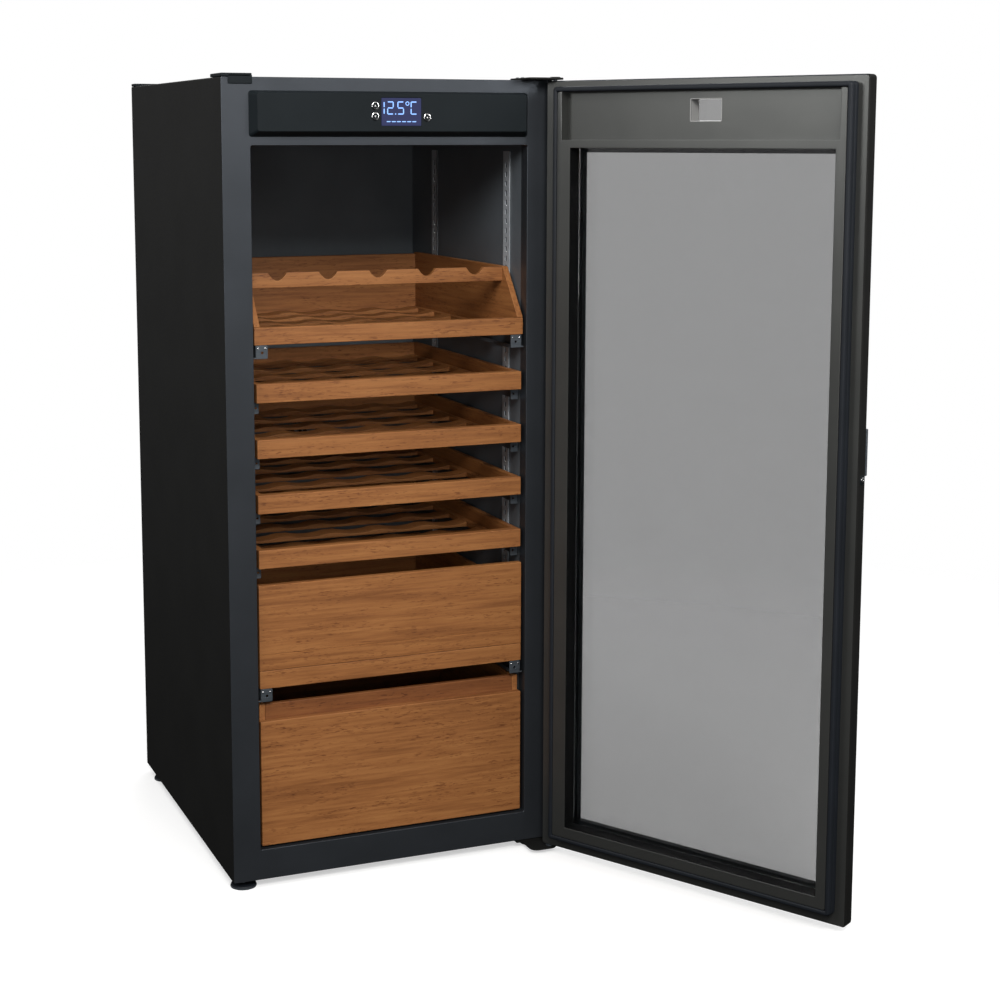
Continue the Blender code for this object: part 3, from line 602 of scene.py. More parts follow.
def make_liner():
    """A folded sheet lining, with a step over the compressor."""
    low, high = span("inner_liner")
    wall, soft = LINER_SHEET, 0.006
    step_y, step_z = 0.455, 0.275
    near, floor = low.y, OPEN_LOW[1]
    back, top = high.y - wall, high.z - wall
    outer = [
        (near, floor - wall), (step_y + wall, floor - wall), (step_y + wall, step_z - wall),
        (high.y, step_z - wall), (high.y, high.z), (near, high.z),
    ]
    inner = [
        (near, floor), (step_y - soft, floor), (step_y, floor + soft), (step_y, step_z - soft),
        (step_y + soft, step_z), (back - soft, step_z), (back, step_z + soft),
        (back, top - soft), (back - soft, top), (near, top),
    ]
    shape = bmesh.new()
    add_plate(shape, "YZ", outer + inner[::-1], [], STILE, WIDTH - STILE)
    for left, right in ((low.x, STILE), (WIDTH - STILE, high.x)):
        add_plate(shape, "YZ", outer, [], left, right)
    piece("liner_shell", shape, "liner", replaces=["inner_liner"])


def make_base():
    shape = bmesh.new()
    add_box(shape, *span("base_pan"), 0.0004)
    piece("base_plate", shape, "black", replaces=["base_pan"])


def flat(points, y):
    return [Vector((x, y, z)) for x, z in points]


def bar_outline(low, high, inward, radius):
    """The control bar's front outline, which its sloping edges draw in on each side."""
    side = BAR_SLOPE + inward
    return rounded(
        (low.x + side, low.z + (BAR_UNDER + inward)), (high.x - side, high.z - (BAR_OVER + inward)),
        radius,
    )


def boards(name, boxes, body, grain, replaces=(), look="wood", radius=0.0012):
    """Several boards with the same grain, as one piece."""
    shape = bmesh.new()
    for low, high in boxes:
        add_box(shape, low, high, radius)
    return piece(name, shape, look, body, replaces=replaces, grain=grain)


# Control bar

BAR_SLOPE, BAR_UNDER, BAR_OVER = 0.011, 0.0099, 0.0045
SEGMENTS = {"1": "bc", "2": "abged", "5": "afgcd", "C": "afed"}


def make_control_bar():
    low, high = span("control_housing")
    wall, edge = 0.002, 0.0003
    face = low.y + 0.0009
    loops = [
        flat(inset(low, high, 0, 0.006), high.y), flat(bar_outline(low, high, 0, 0.005), face),
        flat(bar_outline(low, high, wall, 0.003), face),
        flat(inset(low, high, wall, 0.004), high.y),
    ]
    shape = bmesh.new()
    add_loft(shape, loops, closed=True)
    lens = span("display_lens")
    gap = 0.0004
    holes = [inset(*lens, -gap, 0.0026)]
    for name in MARKS:
        middle, radius = disc_of(name)
        holes.append(circle(middle.x, middle.z, radius + gap, 32))
    front = bar_outline(low, high, edge, 0.005)
    add_plate(shape, "XZ", front, holes, low.y, low.y + 0.0022, 0.0006)
    piece("control_bar", shape, "plastic", replaces=["control_housing"])
    make_display(*lens)


def disc_of(name):
    low, high = span(name)
    return (low + high) / 2, (high.x - low.x) / 2


def make_display(low, high):
    shape = bmesh.new()
    add_plate(shape, "XZ", inset(low, high, 0, 0.0022), [], low.y, high.y, 0.0003)
    piece("display_panel", shape, "screen", replaces=["display_lens"])
    shape = bmesh.new()
    tall, wide, stroke = 0.025, 0.0135, 0.0021
    bottom = high.z - 0.0065 - tall

    def draw(outline, holes=()):
        add_plate(shape, "XZ", outline, holes, low.y - 0.0002, low.y + 0.0001)

    for digit, left in (("1", -0.0075), ("2", 0.0110), ("5", 0.0320), ("C", 0.0590)):
        for letter in SEGMENTS[digit]:
            draw(segment(letter, low.x + left, bottom, wide, tall, stroke))
    draw(circle(low.x + 0.0282, bottom + stroke / 2, stroke * 0.62, 12))
    degree = (low.x + 0.0525, bottom + tall - 0.004)
    draw(circle(*degree, 0.0040, 20), [circle(*degree, 0.0025, 20)])
    for step in range(6):
        left = low.x + 0.010 + 0.0105 * step
        draw(rounded((left, low.z + 0.007), (left + 0.0080, low.z + 0.0088), 0.0008, 2))
    piece("display_digits", shape, "digits")


def segment(letter, left, low, wide, tall, stroke):
    """The outline of one stroke of a seven-segment digit."""
    half, gap = tall / 2, stroke * 0.62
    right, middle, high = left + wide - stroke, low + half, low + tall
    if letter in "adg":
        z = {"a": high - stroke, "d": low, "g": middle - stroke / 2}[letter]
        corners = (left + gap, z), (left + wide - gap, z + stroke)
    else:
        x = right if letter in "bc" else left
        z = middle if letter in "bf" else low
        corners = (x, z + gap), (x + stroke, z + half - gap)
    return rounded(*corners, stroke * 0.49, 3)


def make_button(name, mark):
    middle, radius = disc_of(name)
    front, back = (corner.y for corner in span(name))
    rim = [
        (0.72, 0.0016), (0.73, 0.0005), (0.79, 0.0), (0.90, 0.0001), (0.97, 0.0005), (1.0, 0.0012),
    ]
    rim = [(radius * share, front + deep) for share, deep in rim] + [(radius, back)]
    dish = [(0.71, 0.0018), (0.71, 0.0007), (0.60, 0.0010), (0.35, 0.0013), (0.08, 0.0014)]
    dish = [(radius * share, front + deep) for share, deep in dish]
    for part, profile, look, replaces, angle in (
        ("rim", rim, "chrome", [name], 35), ("dish", dish, "plastic", [], 60),
    ):
        shape = bmesh.new()
        add_turned(shape, profile, (middle.x, 0, middle.z), "Y", 36)
        piece(f"{name}_{part}", shape, look, name, replaces=replaces, angle=angle)
    shape = bmesh.new()
    outline = [(middle.x + u * radius, middle.z + v * radius) for u, v in mark]
    add_plate(shape, "XZ", outline, [], front + 0.0009, front + 0.0016)
    piece(f"{name}_mark", shape, "white", name)


# Hinges, cap, feet


def make_hinges():
    centre = (CASE.inverted() @ HINGE).xy
    low, high = span("top_hinge_bracket")
    shape = bmesh.new()
    plate = high.z - 0.004
    add_plate(shape, "XY", rounded(low.xy, high.xy, 0.009), [], plate, high.z, 0.0007)
    boss = [
        (0.0105, plate + 0.003), (0.0105, high.z + 0.0008), (0.0090, high.z + 0.0016),
        (0.0045, high.z + 0.0016),
    ]
    add_turned(shape, boss, centre.to_3d(), "Z", 32)
    piece("hinge_plate_top", shape, "black", replaces=["top_hinge_bracket"])
    shape = bmesh.new()
    add_pin(shape, (*centre, (low.z + high.z) / 2 + 0.001), 0.004, high.z - low.z, 0.0006)
    for x, y in product((low.x + 0.014, low.x + 0.038), (high.y - 0.012, high.y - 0.036)):
        add_screw(shape, (x, y, high.z - 0.0002), 0.0042, "Z", 1.0)
    piece("hinge_pin_top", shape, "steel", slot="case_black")
    low, high = span("bottom_hinge_bracket")
    foot, _ = disc_of("foot_front_right")
    hole = circle(foot.x, foot.y, 0.006, 24)
    shape = bmesh.new()
    outline = rounded((low.x + 0.014, low.y), high.xy, 0.017, 7)
    add_plate(shape, "XY", outline, [hole], low.z, low.z + 0.003, 0.0007)
    packer = rounded((low.x, 0.003), (WIDTH - 0.0003, high.y), 0.002)
    add_plate(shape, "XY", packer, [hole], low.z + 0.0025, -0.0004, 0.0004)
    piece("hinge_plate_bottom", shape, "black", replaces=["bottom_hinge_bracket"])
    shape = bmesh.new()
    add_pin(shape, (*centre, (low.z + high.z) / 2), 0.004, high.z - low.z - 0.0004, 0.0006)
    washer = [(0.0042, -0.0063), (0.0085, -0.0063), (0.0085, -0.0047), (0.0042, -0.0047)]
    add_turned(shape, washer, centre.to_3d(), "Z", 28)
    piece("hinge_pin_bottom", shape, "steel", slot="case_black")


def make_cap():
    low, high = span("spare_hinge_cap")
    shape = bmesh.new()
    top = rounded(low.xy, high.xy, 0.004)
    add_plate(shape, "XY", top, [], HEIGHT + 0.0004, high.z, 0.0011)
    lip = rounded((low.x + 0.0134, low.z), (high.x, HEIGHT + 0.004), 0.0016)
    add_plate(shape, "XZ", lip, [], low.y, -0.0004, 0.0006)
    plug = [(0.0058, high.z - 0.0004), (0.0058, high.z + 0.0002), (0.0048, high.z + 0.0005)]
    for y in (0.022, 0.055):
        add_turned(shape, plug, ((low.x + high.x) / 2, y, 0), "Z", 24)
    piece("spare_hinge_cover", shape, "plastic", replaces=["spare_hinge_cap"])
    shape = bmesh.new()
    trim_low = (0.0, DEPTH - 0.034, HEIGHT + 0.0003)
    add_box(shape, trim_low, (WIDTH, DEPTH - 0.0002, high.z - 0.0006), 0.0016, 3)
    piece("rear_top_trim", shape, "plastic")


def make_feet():
    pad_top = 0.0075
    for name in (f"foot_{end}_{side}" for end in ("front", "rear") for side in ("left", "right")):
        low, high = span(name)
        middle, radius = disc_of(name)
        at = (*middle.xy, low.z)
        shape = bmesh.new()
        base = [
            (radius - 0.0016, 0.0), (radius - 0.0004, 0.0006), (radius, 0.0018), (radius, 0.0030),
            (radius - 0.0012, 0.0040),
        ]
        add_turned(shape, base, at, "Z", 44)
        stem = [(0.0048, pad_top - 0.001)]
        for turn in range(6):
            level = pad_top + 0.0002 + turn * 0.0016
            stem += [(0.0050, level), (0.0044, level + 0.0008)]
        add_turned(shape, stem + [(0.0044, high.z - low.z)], at, "Z", 20)
        piece(f"{name}_base", shape, "steel", replaces=[name])
        shape = bmesh.new()
        cover = [
            (radius - 0.0013, 0.0038), (radius - 0.0006, 0.0044),
            (radius - 0.0014, pad_top - 0.0012), (radius - 0.0060, pad_top),
            (0.0062, pad_top + 0.0002),
        ]
        add_turned(shape, cover, at, "Z", 44)
        piece(f"{name}_cover", shape, "rubber", slot="zinc_steel")


# Door

SKIN = 0.002


def refinish(made, look, chosen):
    """Gives the faces that a test picks, by centre and normal, another finish."""
    made.data.materials.append(LOOKS[look])
    last = len(made.data.materials) - 1
    for face in made.data.polygons:
        if chosen(face.center, face.normal):
            face.material_index = last


def in_jamb(low, high, reach=0.0025, least=0.0, most=0.6):
    """Whether a face is on the edge of an opening, with its normal between two slants."""
    def test(centre, normal):
        inside = all(
            near - reach < value < far + reach
            for near, value, far in zip(low, (centre.x, centre.z), high)
        )
        return inside and least <= abs(normal.y) < most
    return test


def make_door():
    low, high = span("door_frame", DOOR)
    glass, view = window_of("outer_glass"), window_of("display_window")
    holes = [rounded(*glass, 0.0012, 2), rounded(*view, 0.0012, 2)]
    shape = bmesh.new()
    front, back = low.y, high.y
    edge = [
        (0.0028, back), (0.0010, back - 0.0005), (0.0002, back - 0.0016), (0.0, back - 0.0032),
        (0.0, front + 0.0048), (0.0007, front + 0.0024), (0.0023, front + 0.0008),
        (0.0048, front), (0.0048, front + SKIN), (SKIN, front + 0.0058), (SKIN, back - 0.0042),
        (0.0034, back - 0.0012),
    ]
    add_moulding(shape, low.xz, high.xz, 0.007, edge)
    add_plate(shape, "XZ", inset(low, high, 0.0046, 0.003), holes, front, front + SKIN)
    jamb = [(0.0, front + 0.0004), (0.0, back), (-SKIN, back), (-SKIN, front + 0.0004)]
    for window in (glass, view):
        add_moulding(shape, *window, 0.0014, jamb)
    slab = piece("door_slab", shape, "paint", "door", replaces=["door_frame"], angle=40)
    # The door's free edge takes the black coat in place of the charcoal paint: painted shade,
    # darker than the hinge edge of the same slab.
    refinish(slab, "black", lambda centre, normal: centre.x < low.x + 0.006)
    refinish(slab, "jamb", in_jamb(*glass))
    refinish(slab, "sleeve", in_jamb(*view))
    make_door_lining(holes, glass, view)
    make_seal()
    make_panes(glass)
    make_lock()


def window_of(pane):
    """The opening that a pane sits in, as two (x, z) corners."""
    low, high = span(pane, DOOR)
    gap = 0.0003
    return (low.x - gap, low.z - gap), (high.x + gap, high.z + gap)


def make_door_lining(holes, glass, view):
    """The door's inner frame: a rim, the plug that enters the doorway, and a recess in its top."""
    low, high = span("door_inner_frame", DOOR)
    rim, inward = -0.0245, 0.0103
    shape = bmesh.new()
    add_plate(shape, "XZ", inset(low, high, 0, 0.0055), holes, low.y, rim, 0.0006)
    seal_low, seal_high = span("door_gasket", DOOR)
    left, right = seal_low.x + inward, seal_high.x - inward
    bottom, top = seal_low.z + inward, seal_high.z - inward
    recess_left, recess_right, recess_floor = 0.0375, WIDTH - 0.046, 1.453
    soft, hard = 0.004, 0.004 * 0.3
    plug = [
        (left + soft, bottom), (right - soft, bottom), (right - hard, bottom + hard),
        (right, bottom + soft), (right, top - soft), (right - hard, top - hard),
        (right - soft, top), (recess_right, top), (recess_right, recess_floor),
        (recess_left, recess_floor), (recess_left, top), (left + soft, top),
        (left + hard, top - hard), (left, top - soft), (left, bottom + soft),
        (left + hard, bottom + hard),
    ]
    add_plate(shape, "XZ", plug, [holes[0]], rim - 0.003, high.y, 0.0011)
    thin, short = 0.0013, 0.0004
    ridge = [(-thin, rim - short), (-thin, rim + short), (0.0, rim + short), (0.0, rim - short)]
    add_moulding(shape, *view, 0.0012, ridge)
    lining = piece("door_lining", shape, "inner", "door", replaces=["door_inner_frame"], angle=38)
    refinish(lining, "jamb", in_jamb(*glass, 0.0008))
    refinish(lining, "sleeve", in_jamb(*view, 0.0022, 0.0, 1.1))
    refinish(lining, "alloy", in_jamb(*glass, 0.0015, 0.6, 0.9))


def make_seal():
    low, high = span("door_gasket", DOOR)
    root, tip = low.y, high.y
    wide = 0.010
    deep = tip - root
    profile = [
        (0.0, root), (0.0, root + deep * 0.30), (0.0016, root + deep * 0.38),
        (0.0002, root + deep * 0.47), (0.0, root + deep * 0.82), (0.0018, tip - 0.0006),
        (0.0034, tip), (0.0076, tip), (wide - 0.0006, tip - 0.0010), (wide, tip - 0.0032),
        (wide - 0.0012, root + deep * 0.47), (wide, root + deep * 0.36), (wide, root),
    ]
    shape = bmesh.new()
    add_moulding(shape, low.xz, high.xz, 0.007, profile)
    piece("door_seal", shape, "rubber", "door", replaces=["door_gasket"], angle=60)


def make_panes(glass):
    for name, look in (
        ("outer_glass", "glass"), ("inner_glass", "glass"), ("display_window", "window"),
    ):
        low, high = span(name, DOOR)
        shape = bmesh.new()
        add_plate(shape, "XZ", inset(low, high, 0, 0.0010, 2), [], low.y, high.y, 0.0003)
        piece(f"{name}_pane", shape, look, "door", replaces=[name])
    near = span("outer_glass", DOOR)[1].y + 0.0001
    far = span("inner_glass", DOOR)[0].y - 0.0001
    shape = bmesh.new()
    bar = [(0.0005, near), (0.0085, near), (0.0085, far), (0.0005, far)]
    add_moulding(shape, *glass, 0.0012, bar)
    piece("pane_spacer", shape, "plastic", "door")


def make_lock():
    low, high = span("lock_cylinder", DOOR)
    middle, radius = (low + high) / 2, (high.z - low.z) / 2
    shape = bmesh.new()
    at = (0, middle.y, middle.z)
    barrel = [
        (radius * 0.30, low.x + 0.0006), (radius * 0.34, low.x + 0.0001), (radius * 0.72, low.x),
        (radius * 0.94, low.x + 0.0004), (radius, low.x + 0.0012), (radius, high.x),
    ]
    add_turned(shape, barrel, at, "X", 32)
    piece("lock_barrel", shape, "chrome", "lock", replaces=["lock_cylinder"], angle=35)
    # The keyway is a black plastic slab on the barrel's face: painted shade standing in for the
    # depth of the slot.
    shape = bmesh.new()
    thin, half = 0.0006, radius * 0.55
    slit_low = (low.x - 0.0002, middle.y - thin, middle.z - half)
    add_box(shape, slit_low, (low.x + 0.0007, middle.y + thin, middle.z + half), 0.0002)
    piece("lock_keyway", shape, "plastic", "lock", "bright_chrome")
    shape = bmesh.new()
    edge = span("door_frame", DOOR)[0].x
    collar = [
        (radius + 0.0006, edge + 0.0008), (radius + 0.0006, edge - 0.0008),
        (radius + 0.0022, edge - 0.0010), (radius + 0.0034, edge - 0.0002),
        (radius + 0.0036, edge + 0.0008),
    ]
    loops = [ring(r, x, 32, Matrix.Translation(at) @ UP["X"]) for r, x in collar]
    add_loft(shape, loops, closed=True)
    piece("lock_collar", shape, "plastic", "door")
    shape = bmesh.new()
    add_box(shape, *span("door_pull", DOOR), 0.0021, 4)
    piece("edge_pull", shape, "steel", "door", replaces=["door_pull"])


# Wall strips, runners and slides

HOOK_PITCH = 0.019


def make_strip(side, place):
    name = f"wall_strip_{side}_{place}"
    low, high = span(name)
    middle = (low.y + high.y) / 2
    count = int((high.z - low.z) / HOOK_PITCH)
    levels = [low.z + HOOK_PITCH * (step + 0.5) for step in range(count)]
    slots = [
        rounded((middle - 0.0045, z - 0.0055), (middle + 0.0045, z + 0.0055), 0.001, 1)
        for z in levels
    ]
    shape = bmesh.new()
    outline = [(low.y, low.z), (high.y, low.z), (high.y, high.z), (low.y, high.z)]
    add_plate(shape, "YZ", outline, slots, low.x, high.x - 0.0006)
    for edge_low in (low.y, high.y - 0.0012):
        add_box(shape, (low.x, edge_low, low.z), (high.x, edge_low + 0.0012, high.z))
    # The rail takes the lighter strip steel: painted light standing in for the light the shaded
    # strips don't get.
    piece(f"{name}_rail", shape, "strip", replaces=[name])
    shape = bmesh.new()
    near, far, proud = middle - 0.0022, middle + 0.0022, 0.0002
    for z in levels:
        tab_low, tab_high = (low.x + proud, near, z - 0.0062), (high.x + proud, far, z - 0.0036)
        add_box(shape, tab_low, tab_high, 0.0006, 1)
    piece(f"{name}_tabs", shape, "chrome", slot="zinc_steel")


def left_span(node_name, side):
    """A node's corners, mirrored to the left side where the node is on the right."""
    low, high = span(node_name)
    if side == "right":
        low.x, high.x = WIDTH - high.x, WIDTH - low.x
    return low, high


def add_section(shape, side, outline, holes, near, far, edge=0.0):
    """A plate in XZ, given for the left side and mirrored for the right."""
    loops = [outline, *holes]
    if side == "right":
        loops = [[(WIDTH - x, z) for x, z in loop][::-1] for loop in loops]
    add_plate(shape, "XZ", loops[0], loops[1:], near, far, edge)


def make_runner(name, side, flange):
    """A folded angle with an end stop, and with hooks into the wall strips."""
    node_name = f"{name}_runner_{side}"
    low, high = left_span(node_name, side)
    metal = 0.002
    points = [
        (low.x, low.z), (low.x + metal, low.z), (low.x + metal, high.z - metal - 0.001),
        (low.x + metal + 0.001, high.z - metal), (high.x, high.z - metal), (high.x, high.z),
        (low.x + 0.003, high.z), (low.x + 0.0009, high.z - 0.0009), (low.x, high.z - 0.003),
    ]
    stop_top, holes = high.z, []
    if flange == "bottom":
        points = [(x, low.z + high.z - z) for x, z in points][::-1]
        stop_top = low.z + 0.010
    else:
        holes.append(circle((low.x + high.x) / 2, (low.z + high.z) / 2, 0.0022, 14))
    shape = bmesh.new()
    add_section(shape, side, points, [], low.y, high.y)
    stop = rounded((low.x + metal, low.z), (high.x - 0.004, stop_top), 0.0016, 3)
    add_section(shape, side, stop, holes, low.y, low.y + 0.0014, 0.0003)
    for place in ("front", "rear"):
        strip_low, strip_high = span(f"wall_strip_left_{place}")
        middle = (strip_low.y + strip_high.y) / 2
        if middle > high.y or low.x < strip_high.x:
            continue
        hook_low = (strip_low.x + 0.0008, middle - 0.0035, high.z - 0.011)
        hook_high = (low.x + 0.0005, middle + 0.0035, high.z - 0.002)
        add_box(shape, *sided(side, hook_low, hook_high))
    piece(f"{node_name}_angle", shape, "steel", replaces=[node_name])


def make_slide(name, side):
    """A rolled channel under a drawer, with an end plate and tongue at the front."""
    node_name = f"{name}_slide_{side}"
    low, high = left_span(node_name, side)
    metal, lip = 0.0015, 0.0045
    points = [
        (low.x + 0.002, low.z), (high.x, low.z), (high.x, low.z + lip),
        (high.x - metal, low.z + lip), (high.x - metal, low.z + metal),
        (low.x + metal, low.z + metal),
        (low.x + metal, high.z - metal), (high.x - metal, high.z - metal),
        (high.x - metal, high.z - lip), (high.x, high.z - lip), (high.x, high.z),
        (low.x, high.z), (low.x, low.z + 0.002),
    ]
    shape = bmesh.new()
    add_section(shape, side, points, [], low.y, high.y)
    front = low.y - 0.0024
    end = rounded((low.x + 0.0004, low.z + 0.0002), (high.x + 0.008, high.z - 0.0002), 0.0020, 3)
    hole = circle(high.x - 0.003, low.z + 0.012, 0.0026, 16)
    add_section(shape, side, end, [hole], front, front + 0.0016, 0.0003)
    tongue_high = (low.x + 0.002, front + 0.0016, low.z + 0.0032)
    tongue = sided(side, (low.x - 0.0045, front, low.z + 0.0004), tongue_high)
    add_box(shape, *tongue, 0.0005, 1)
    piece(f"{node_name}_channel", shape, "steel", name, replaces=[node_name])
    shape = bmesh.new()
    for x in (low.x + 0.004, high.x + 0.0035):
        centre = ((x if side == "left" else WIDTH - x), front + 0.0002, high.z - 0.006)
        add_screw(shape, centre, 0.0019)
    piece(f"{node_name}_screws", shape, "chrome", name, "zinc_steel")


# Shelves and drawers

BOARD = 0.012
FLOOR = 0.010
RAIL = 0.020
SIDE_HEIGHT = 0.037
SIDE_STRIP = 0.0155
BOTTLE_PITCH = 0.1045


def scalloped(left, right, low, high, half, depth, steps=10):
    """A board's outline in XZ, with a dip in its top edge for each of five bottles."""
    points = [(left, low), (right, low), (right, high)]
    for number in (2, 1, 0, -1, -2):
        centre = (left + right) / 2 + number * BOTTLE_PITCH
        for step in range(steps + 1):
            share = 1 - 2 * step / steps
            points.append((centre + half * share, high - depth * (1 - share * share)))
    return points + [(left, high)]


def slat_spans(front, back):
    """The front and back of each cross slat in a shelf's floor."""
    first, last, gap, gaps = front + 0.070, back - 0.070, 0.056, 5
    step = (last - first - gap) / (gaps - 1)
    starts = [front + RAIL] + [first + number * step + gap for number in range(gaps)]
    ends = [first + number * step for number in range(gaps)] + [back - BOARD]
    return list(zip(starts, ends))


def make_slats(name, low, high, rear_height):
    """Cross slats and a rear board; gives back the boxes of the strips along their ends."""
    left, right = low.x + BOARD, high.x - BOARD
    front, rear, top = low.y + RAIL, high.y - BOARD, low.z + FLOOR
    shape = bmesh.new()
    outline = scalloped(left + SIDE_STRIP, right - SIDE_STRIP, low.z, top, 0.040, 0.0048)
    for near, far in slat_spans(low.y, high.y):
        add_plate(shape, "XZ", outline, [], near + 0.0003, far - 0.0003, 0.0006)
    add_box(shape, (left, rear, low.z), (right, high.y, low.z + rear_height), 0.0012)
    piece(f"{name}_slats", shape, "wood", name, grain="X")
    return [
        ((x, front, low.z), (x + SIDE_STRIP, rear, top)) for x in (left, right - SIDE_STRIP)
    ]


def make_shelf(name):
    low, high = span(f"{name}_tray")
    strips = make_slats(name, low, high, SIDE_HEIGHT)
    sides = [
        ((x, low.y + RAIL, low.z), (x + BOARD, high.y, low.z + SIDE_HEIGHT))
        for x in (low.x, high.x - BOARD)
    ]
    boards(f"{name}_sides", sides + strips, name, "Y")
    front = (low, (high.x, low.y + RAIL, high.z))
    boards(f"{name}_front", [front], name, "X", replaces=[f"{name}_tray"], radius=0.0014)


def make_display_shelf():
    """A shelf whose sides slope up to a bar for the bottles' necks."""
    name = "display_shelf"
    low, high = span("display_shelf_tray")
    rail_top, crest = low.z + 0.034, 0.087
    strips = make_slats(name, low, high, 0.130)
    shape = bmesh.new()
    for box in strips:
        add_box(shape, *box, 0.0012)
    behind = low.y + RAIL + 0.0002
    side = [
        (behind, low.z), (high.y, low.z), (high.y, high.z - 0.003), (high.y - 0.003, high.z),
        (crest + 0.004, high.z), (crest - 0.002, high.z - 0.0022),
        (low.y + 0.0016, rail_top + 0.0016), (low.y + 0.0020, rail_top + 0.0003),
        (behind, rail_top + 0.0003),
    ]
    for left in (low.x, high.x - BOARD):
        add_plate(shape, "YZ", side, [], left, left + BOARD, 0.0010)
    piece("display_shelf_sides", shape, "wood", name, grain="Y")
    rail = (low, (high.x, low.y + RAIL, rail_top))
    boards("display_shelf_front", [rail], name, "X", replaces=["display_shelf_tray"], radius=0.0014)
    shape = bmesh.new()
    bar_front, bar_bottom, bar_top = 0.089, 1.1665, 1.1955
    outline = scalloped(low.x + 0.001, high.x - 0.001, bar_bottom, bar_top, 0.019, 0.015)
    add_plate(shape, "XZ", outline, [], bar_front, bar_front + BOARD, 0.0010)
    piece("bottle_neck_rest", shape, "wood", name, grain="X")
    shape = bmesh.new()
    for x, z in product((low.x - 0.0001, high.x - 0.0009), (low.z + 0.0095, low.z + 0.0215)):
        add_box(shape, (x, low.y + 0.0012, z), (x + 0.0010, low.y + RAIL, z + 0.0022))
    piece("display_shelf_joints", shape, "dark_wood_and_painted_shade", name, grain="Y")


def make_upper_drawer():
    name = "upper_drawer"
    face_low, face_high = span("upper_drawer_front")
    front, ease, groove = face_low.y, 0.0012, 0.4545
    shape = bmesh.new()
    profile = [
        (front, face_low.z + 0.0008), (front + 0.0008, face_low.z), (face_high.y, face_low.z),
        (face_high.y, face_high.z), (front + ease, face_high.z), (front, face_high.z - ease),
        (front, groove + 0.0008), (front + ease, groove), (front, groove - 0.0008),
    ]
    add_plate(shape, "YZ", profile, [], face_low.x, face_high.x, 0.0006)
    piece("upper_drawer_face", shape, "wood", name, replaces=["upper_drawer_front"], grain="X")
    low, high = span("upper_drawer_box")
    left, right, rail_top = low.x + BOARD, high.x - BOARD, 0.4216
    rail = ((face_low.x, front, low.z), (face_high.x, front + 0.018, rail_top))
    back = ((left, high.y - BOARD, low.z + FLOOR), (right, high.y, high.z))
    inner = ((left, front + 0.0143, low.z + FLOOR), (right, front + 0.026, high.z))
    boards("upper_drawer_rails", [rail, back, inner], name, "X", replaces=["upper_drawer_box"])
    sides = [
        ((x, front + 0.0143, low.z), (x + BOARD, high.y, high.z)) for x in (low.x, high.x - BOARD)
    ]
    floor = ((left, front + 0.018, low.z), (right, high.y, low.z + FLOOR))
    boards("upper_drawer_sides", sides + [floor], name, "Y")
    shape = bmesh.new()
    for x, z in product((face_low.x + 0.008, face_high.x - 0.008), (0.5045, 0.4390)):
        add_turned(shape, [(0.0016, front - 0.0001), (0.0016, front + 0.001)], (x, 0, z), "Y", 14)
    piece("upper_drawer_plugs", shape, "dark_wood_and_painted_shade", name)


def make_lower_drawer():
    name = "lower_drawer"
    low, high = span(name)
    front_back, front_top, bottom = low.y + 0.014, 0.3195, 0.075
    front = (low, (high.x, front_back, front_top))
    boards("lower_drawer_face", [front], name, "X", replaces=["lower_drawer"], radius=0.0014)
    box_left, box_right = low.x + 0.0015, high.x - 0.0015
    left, right = box_left + BOARD, box_right - BOARD
    behind = front_back + 0.0002
    inner = ((left, behind, bottom), (right, front_back + BOARD, high.z))
    back = ((left, high.y - BOARD, bottom + FLOOR), (right, high.y, high.z))
    # The inner boards take the darker wood: painted shade for the recess they stand in, behind the
    # face.
    boards("lower_drawer_inner", [inner, back], name, "X", look="dark_wood_and_painted_shade")
    sides = [((x, behind, bottom), (x + BOARD, high.y, high.z)) for x in (box_left, right)]
    floor = ((left, front_back + BOARD, bottom), (right, high.y - BOARD, bottom + FLOOR))
    boards("lower_drawer_sides", sides + [floor], name, "Y")


# Cooling


def make_cover():
    """The housing over the evaporator, with vents and a round guard for the fan."""
    low, high = span("evaporator_cover")
    middle = sum(span("fan_blades"), Vector()) / 2
    hole, front, skin = 0.050, low.y, 0.002
    slots = []
    for row in range(4):
        for level in (low.z + 0.020 + row * 0.012, high.z - 0.026 - row * 0.012):
            for left in (low.x + 0.030, low.x + 0.155):
                slots.append(rounded((left, level), (left + 0.115, level + 0.006), 0.0029, 3))
    shape = bmesh.new()
    outline = rounded(low.xz, high.xz, 0.010)
    holes = [circle(middle.x, middle.z, hole, 48)] + slots
    add_plate(shape, "XZ", outline, holes, front, front + skin, 0.0006)
    wall = [(0.0, front + 0.001), (0.0, high.y), (skin, high.y), (skin, front + 0.001)]
    add_moulding(shape, low.xz, high.xz, 0.010, wall)
    place = Matrix.Translation((middle.x, 0, middle.z)) @ UP["Y"]
    for radius in (0.012, 0.022, 0.032, 0.042):
        outside = radius + 0.0018
        wire = ((radius, front), (outside, front), (outside, front + skin), (radius, front + skin))
        add_loft(shape, [ring(r, y, 40, place) for r, y in wire], closed=True)
    centre = Matrix.Translation((middle.x, front + 0.0002, middle.z))
    for turn in range(4):
        bar = bmesh.new()
        add_box(bar, (-hole, 0.0, -0.0013), (hole, 0.0016, 0.0013))
        place = centre @ Matrix.Rotation(turn * pi / 4, 4, "Y")
        bmesh.ops.transform(bar, matrix=place, verts=bar.verts)
        merge(shape, bar)
    piece("evaporator_housing", shape, "liner", replaces=["evaporator_cover"])
    shape = bmesh.new()
    for x, z in product((low.x + 0.010, high.x - 0.010), (low.z + 0.010, high.z - 0.010)):
        add_screw(shape, (x, front + 0.0002, z), 0.0034)
    piece("evaporator_screws", shape, "chrome", slot="zinc_steel")


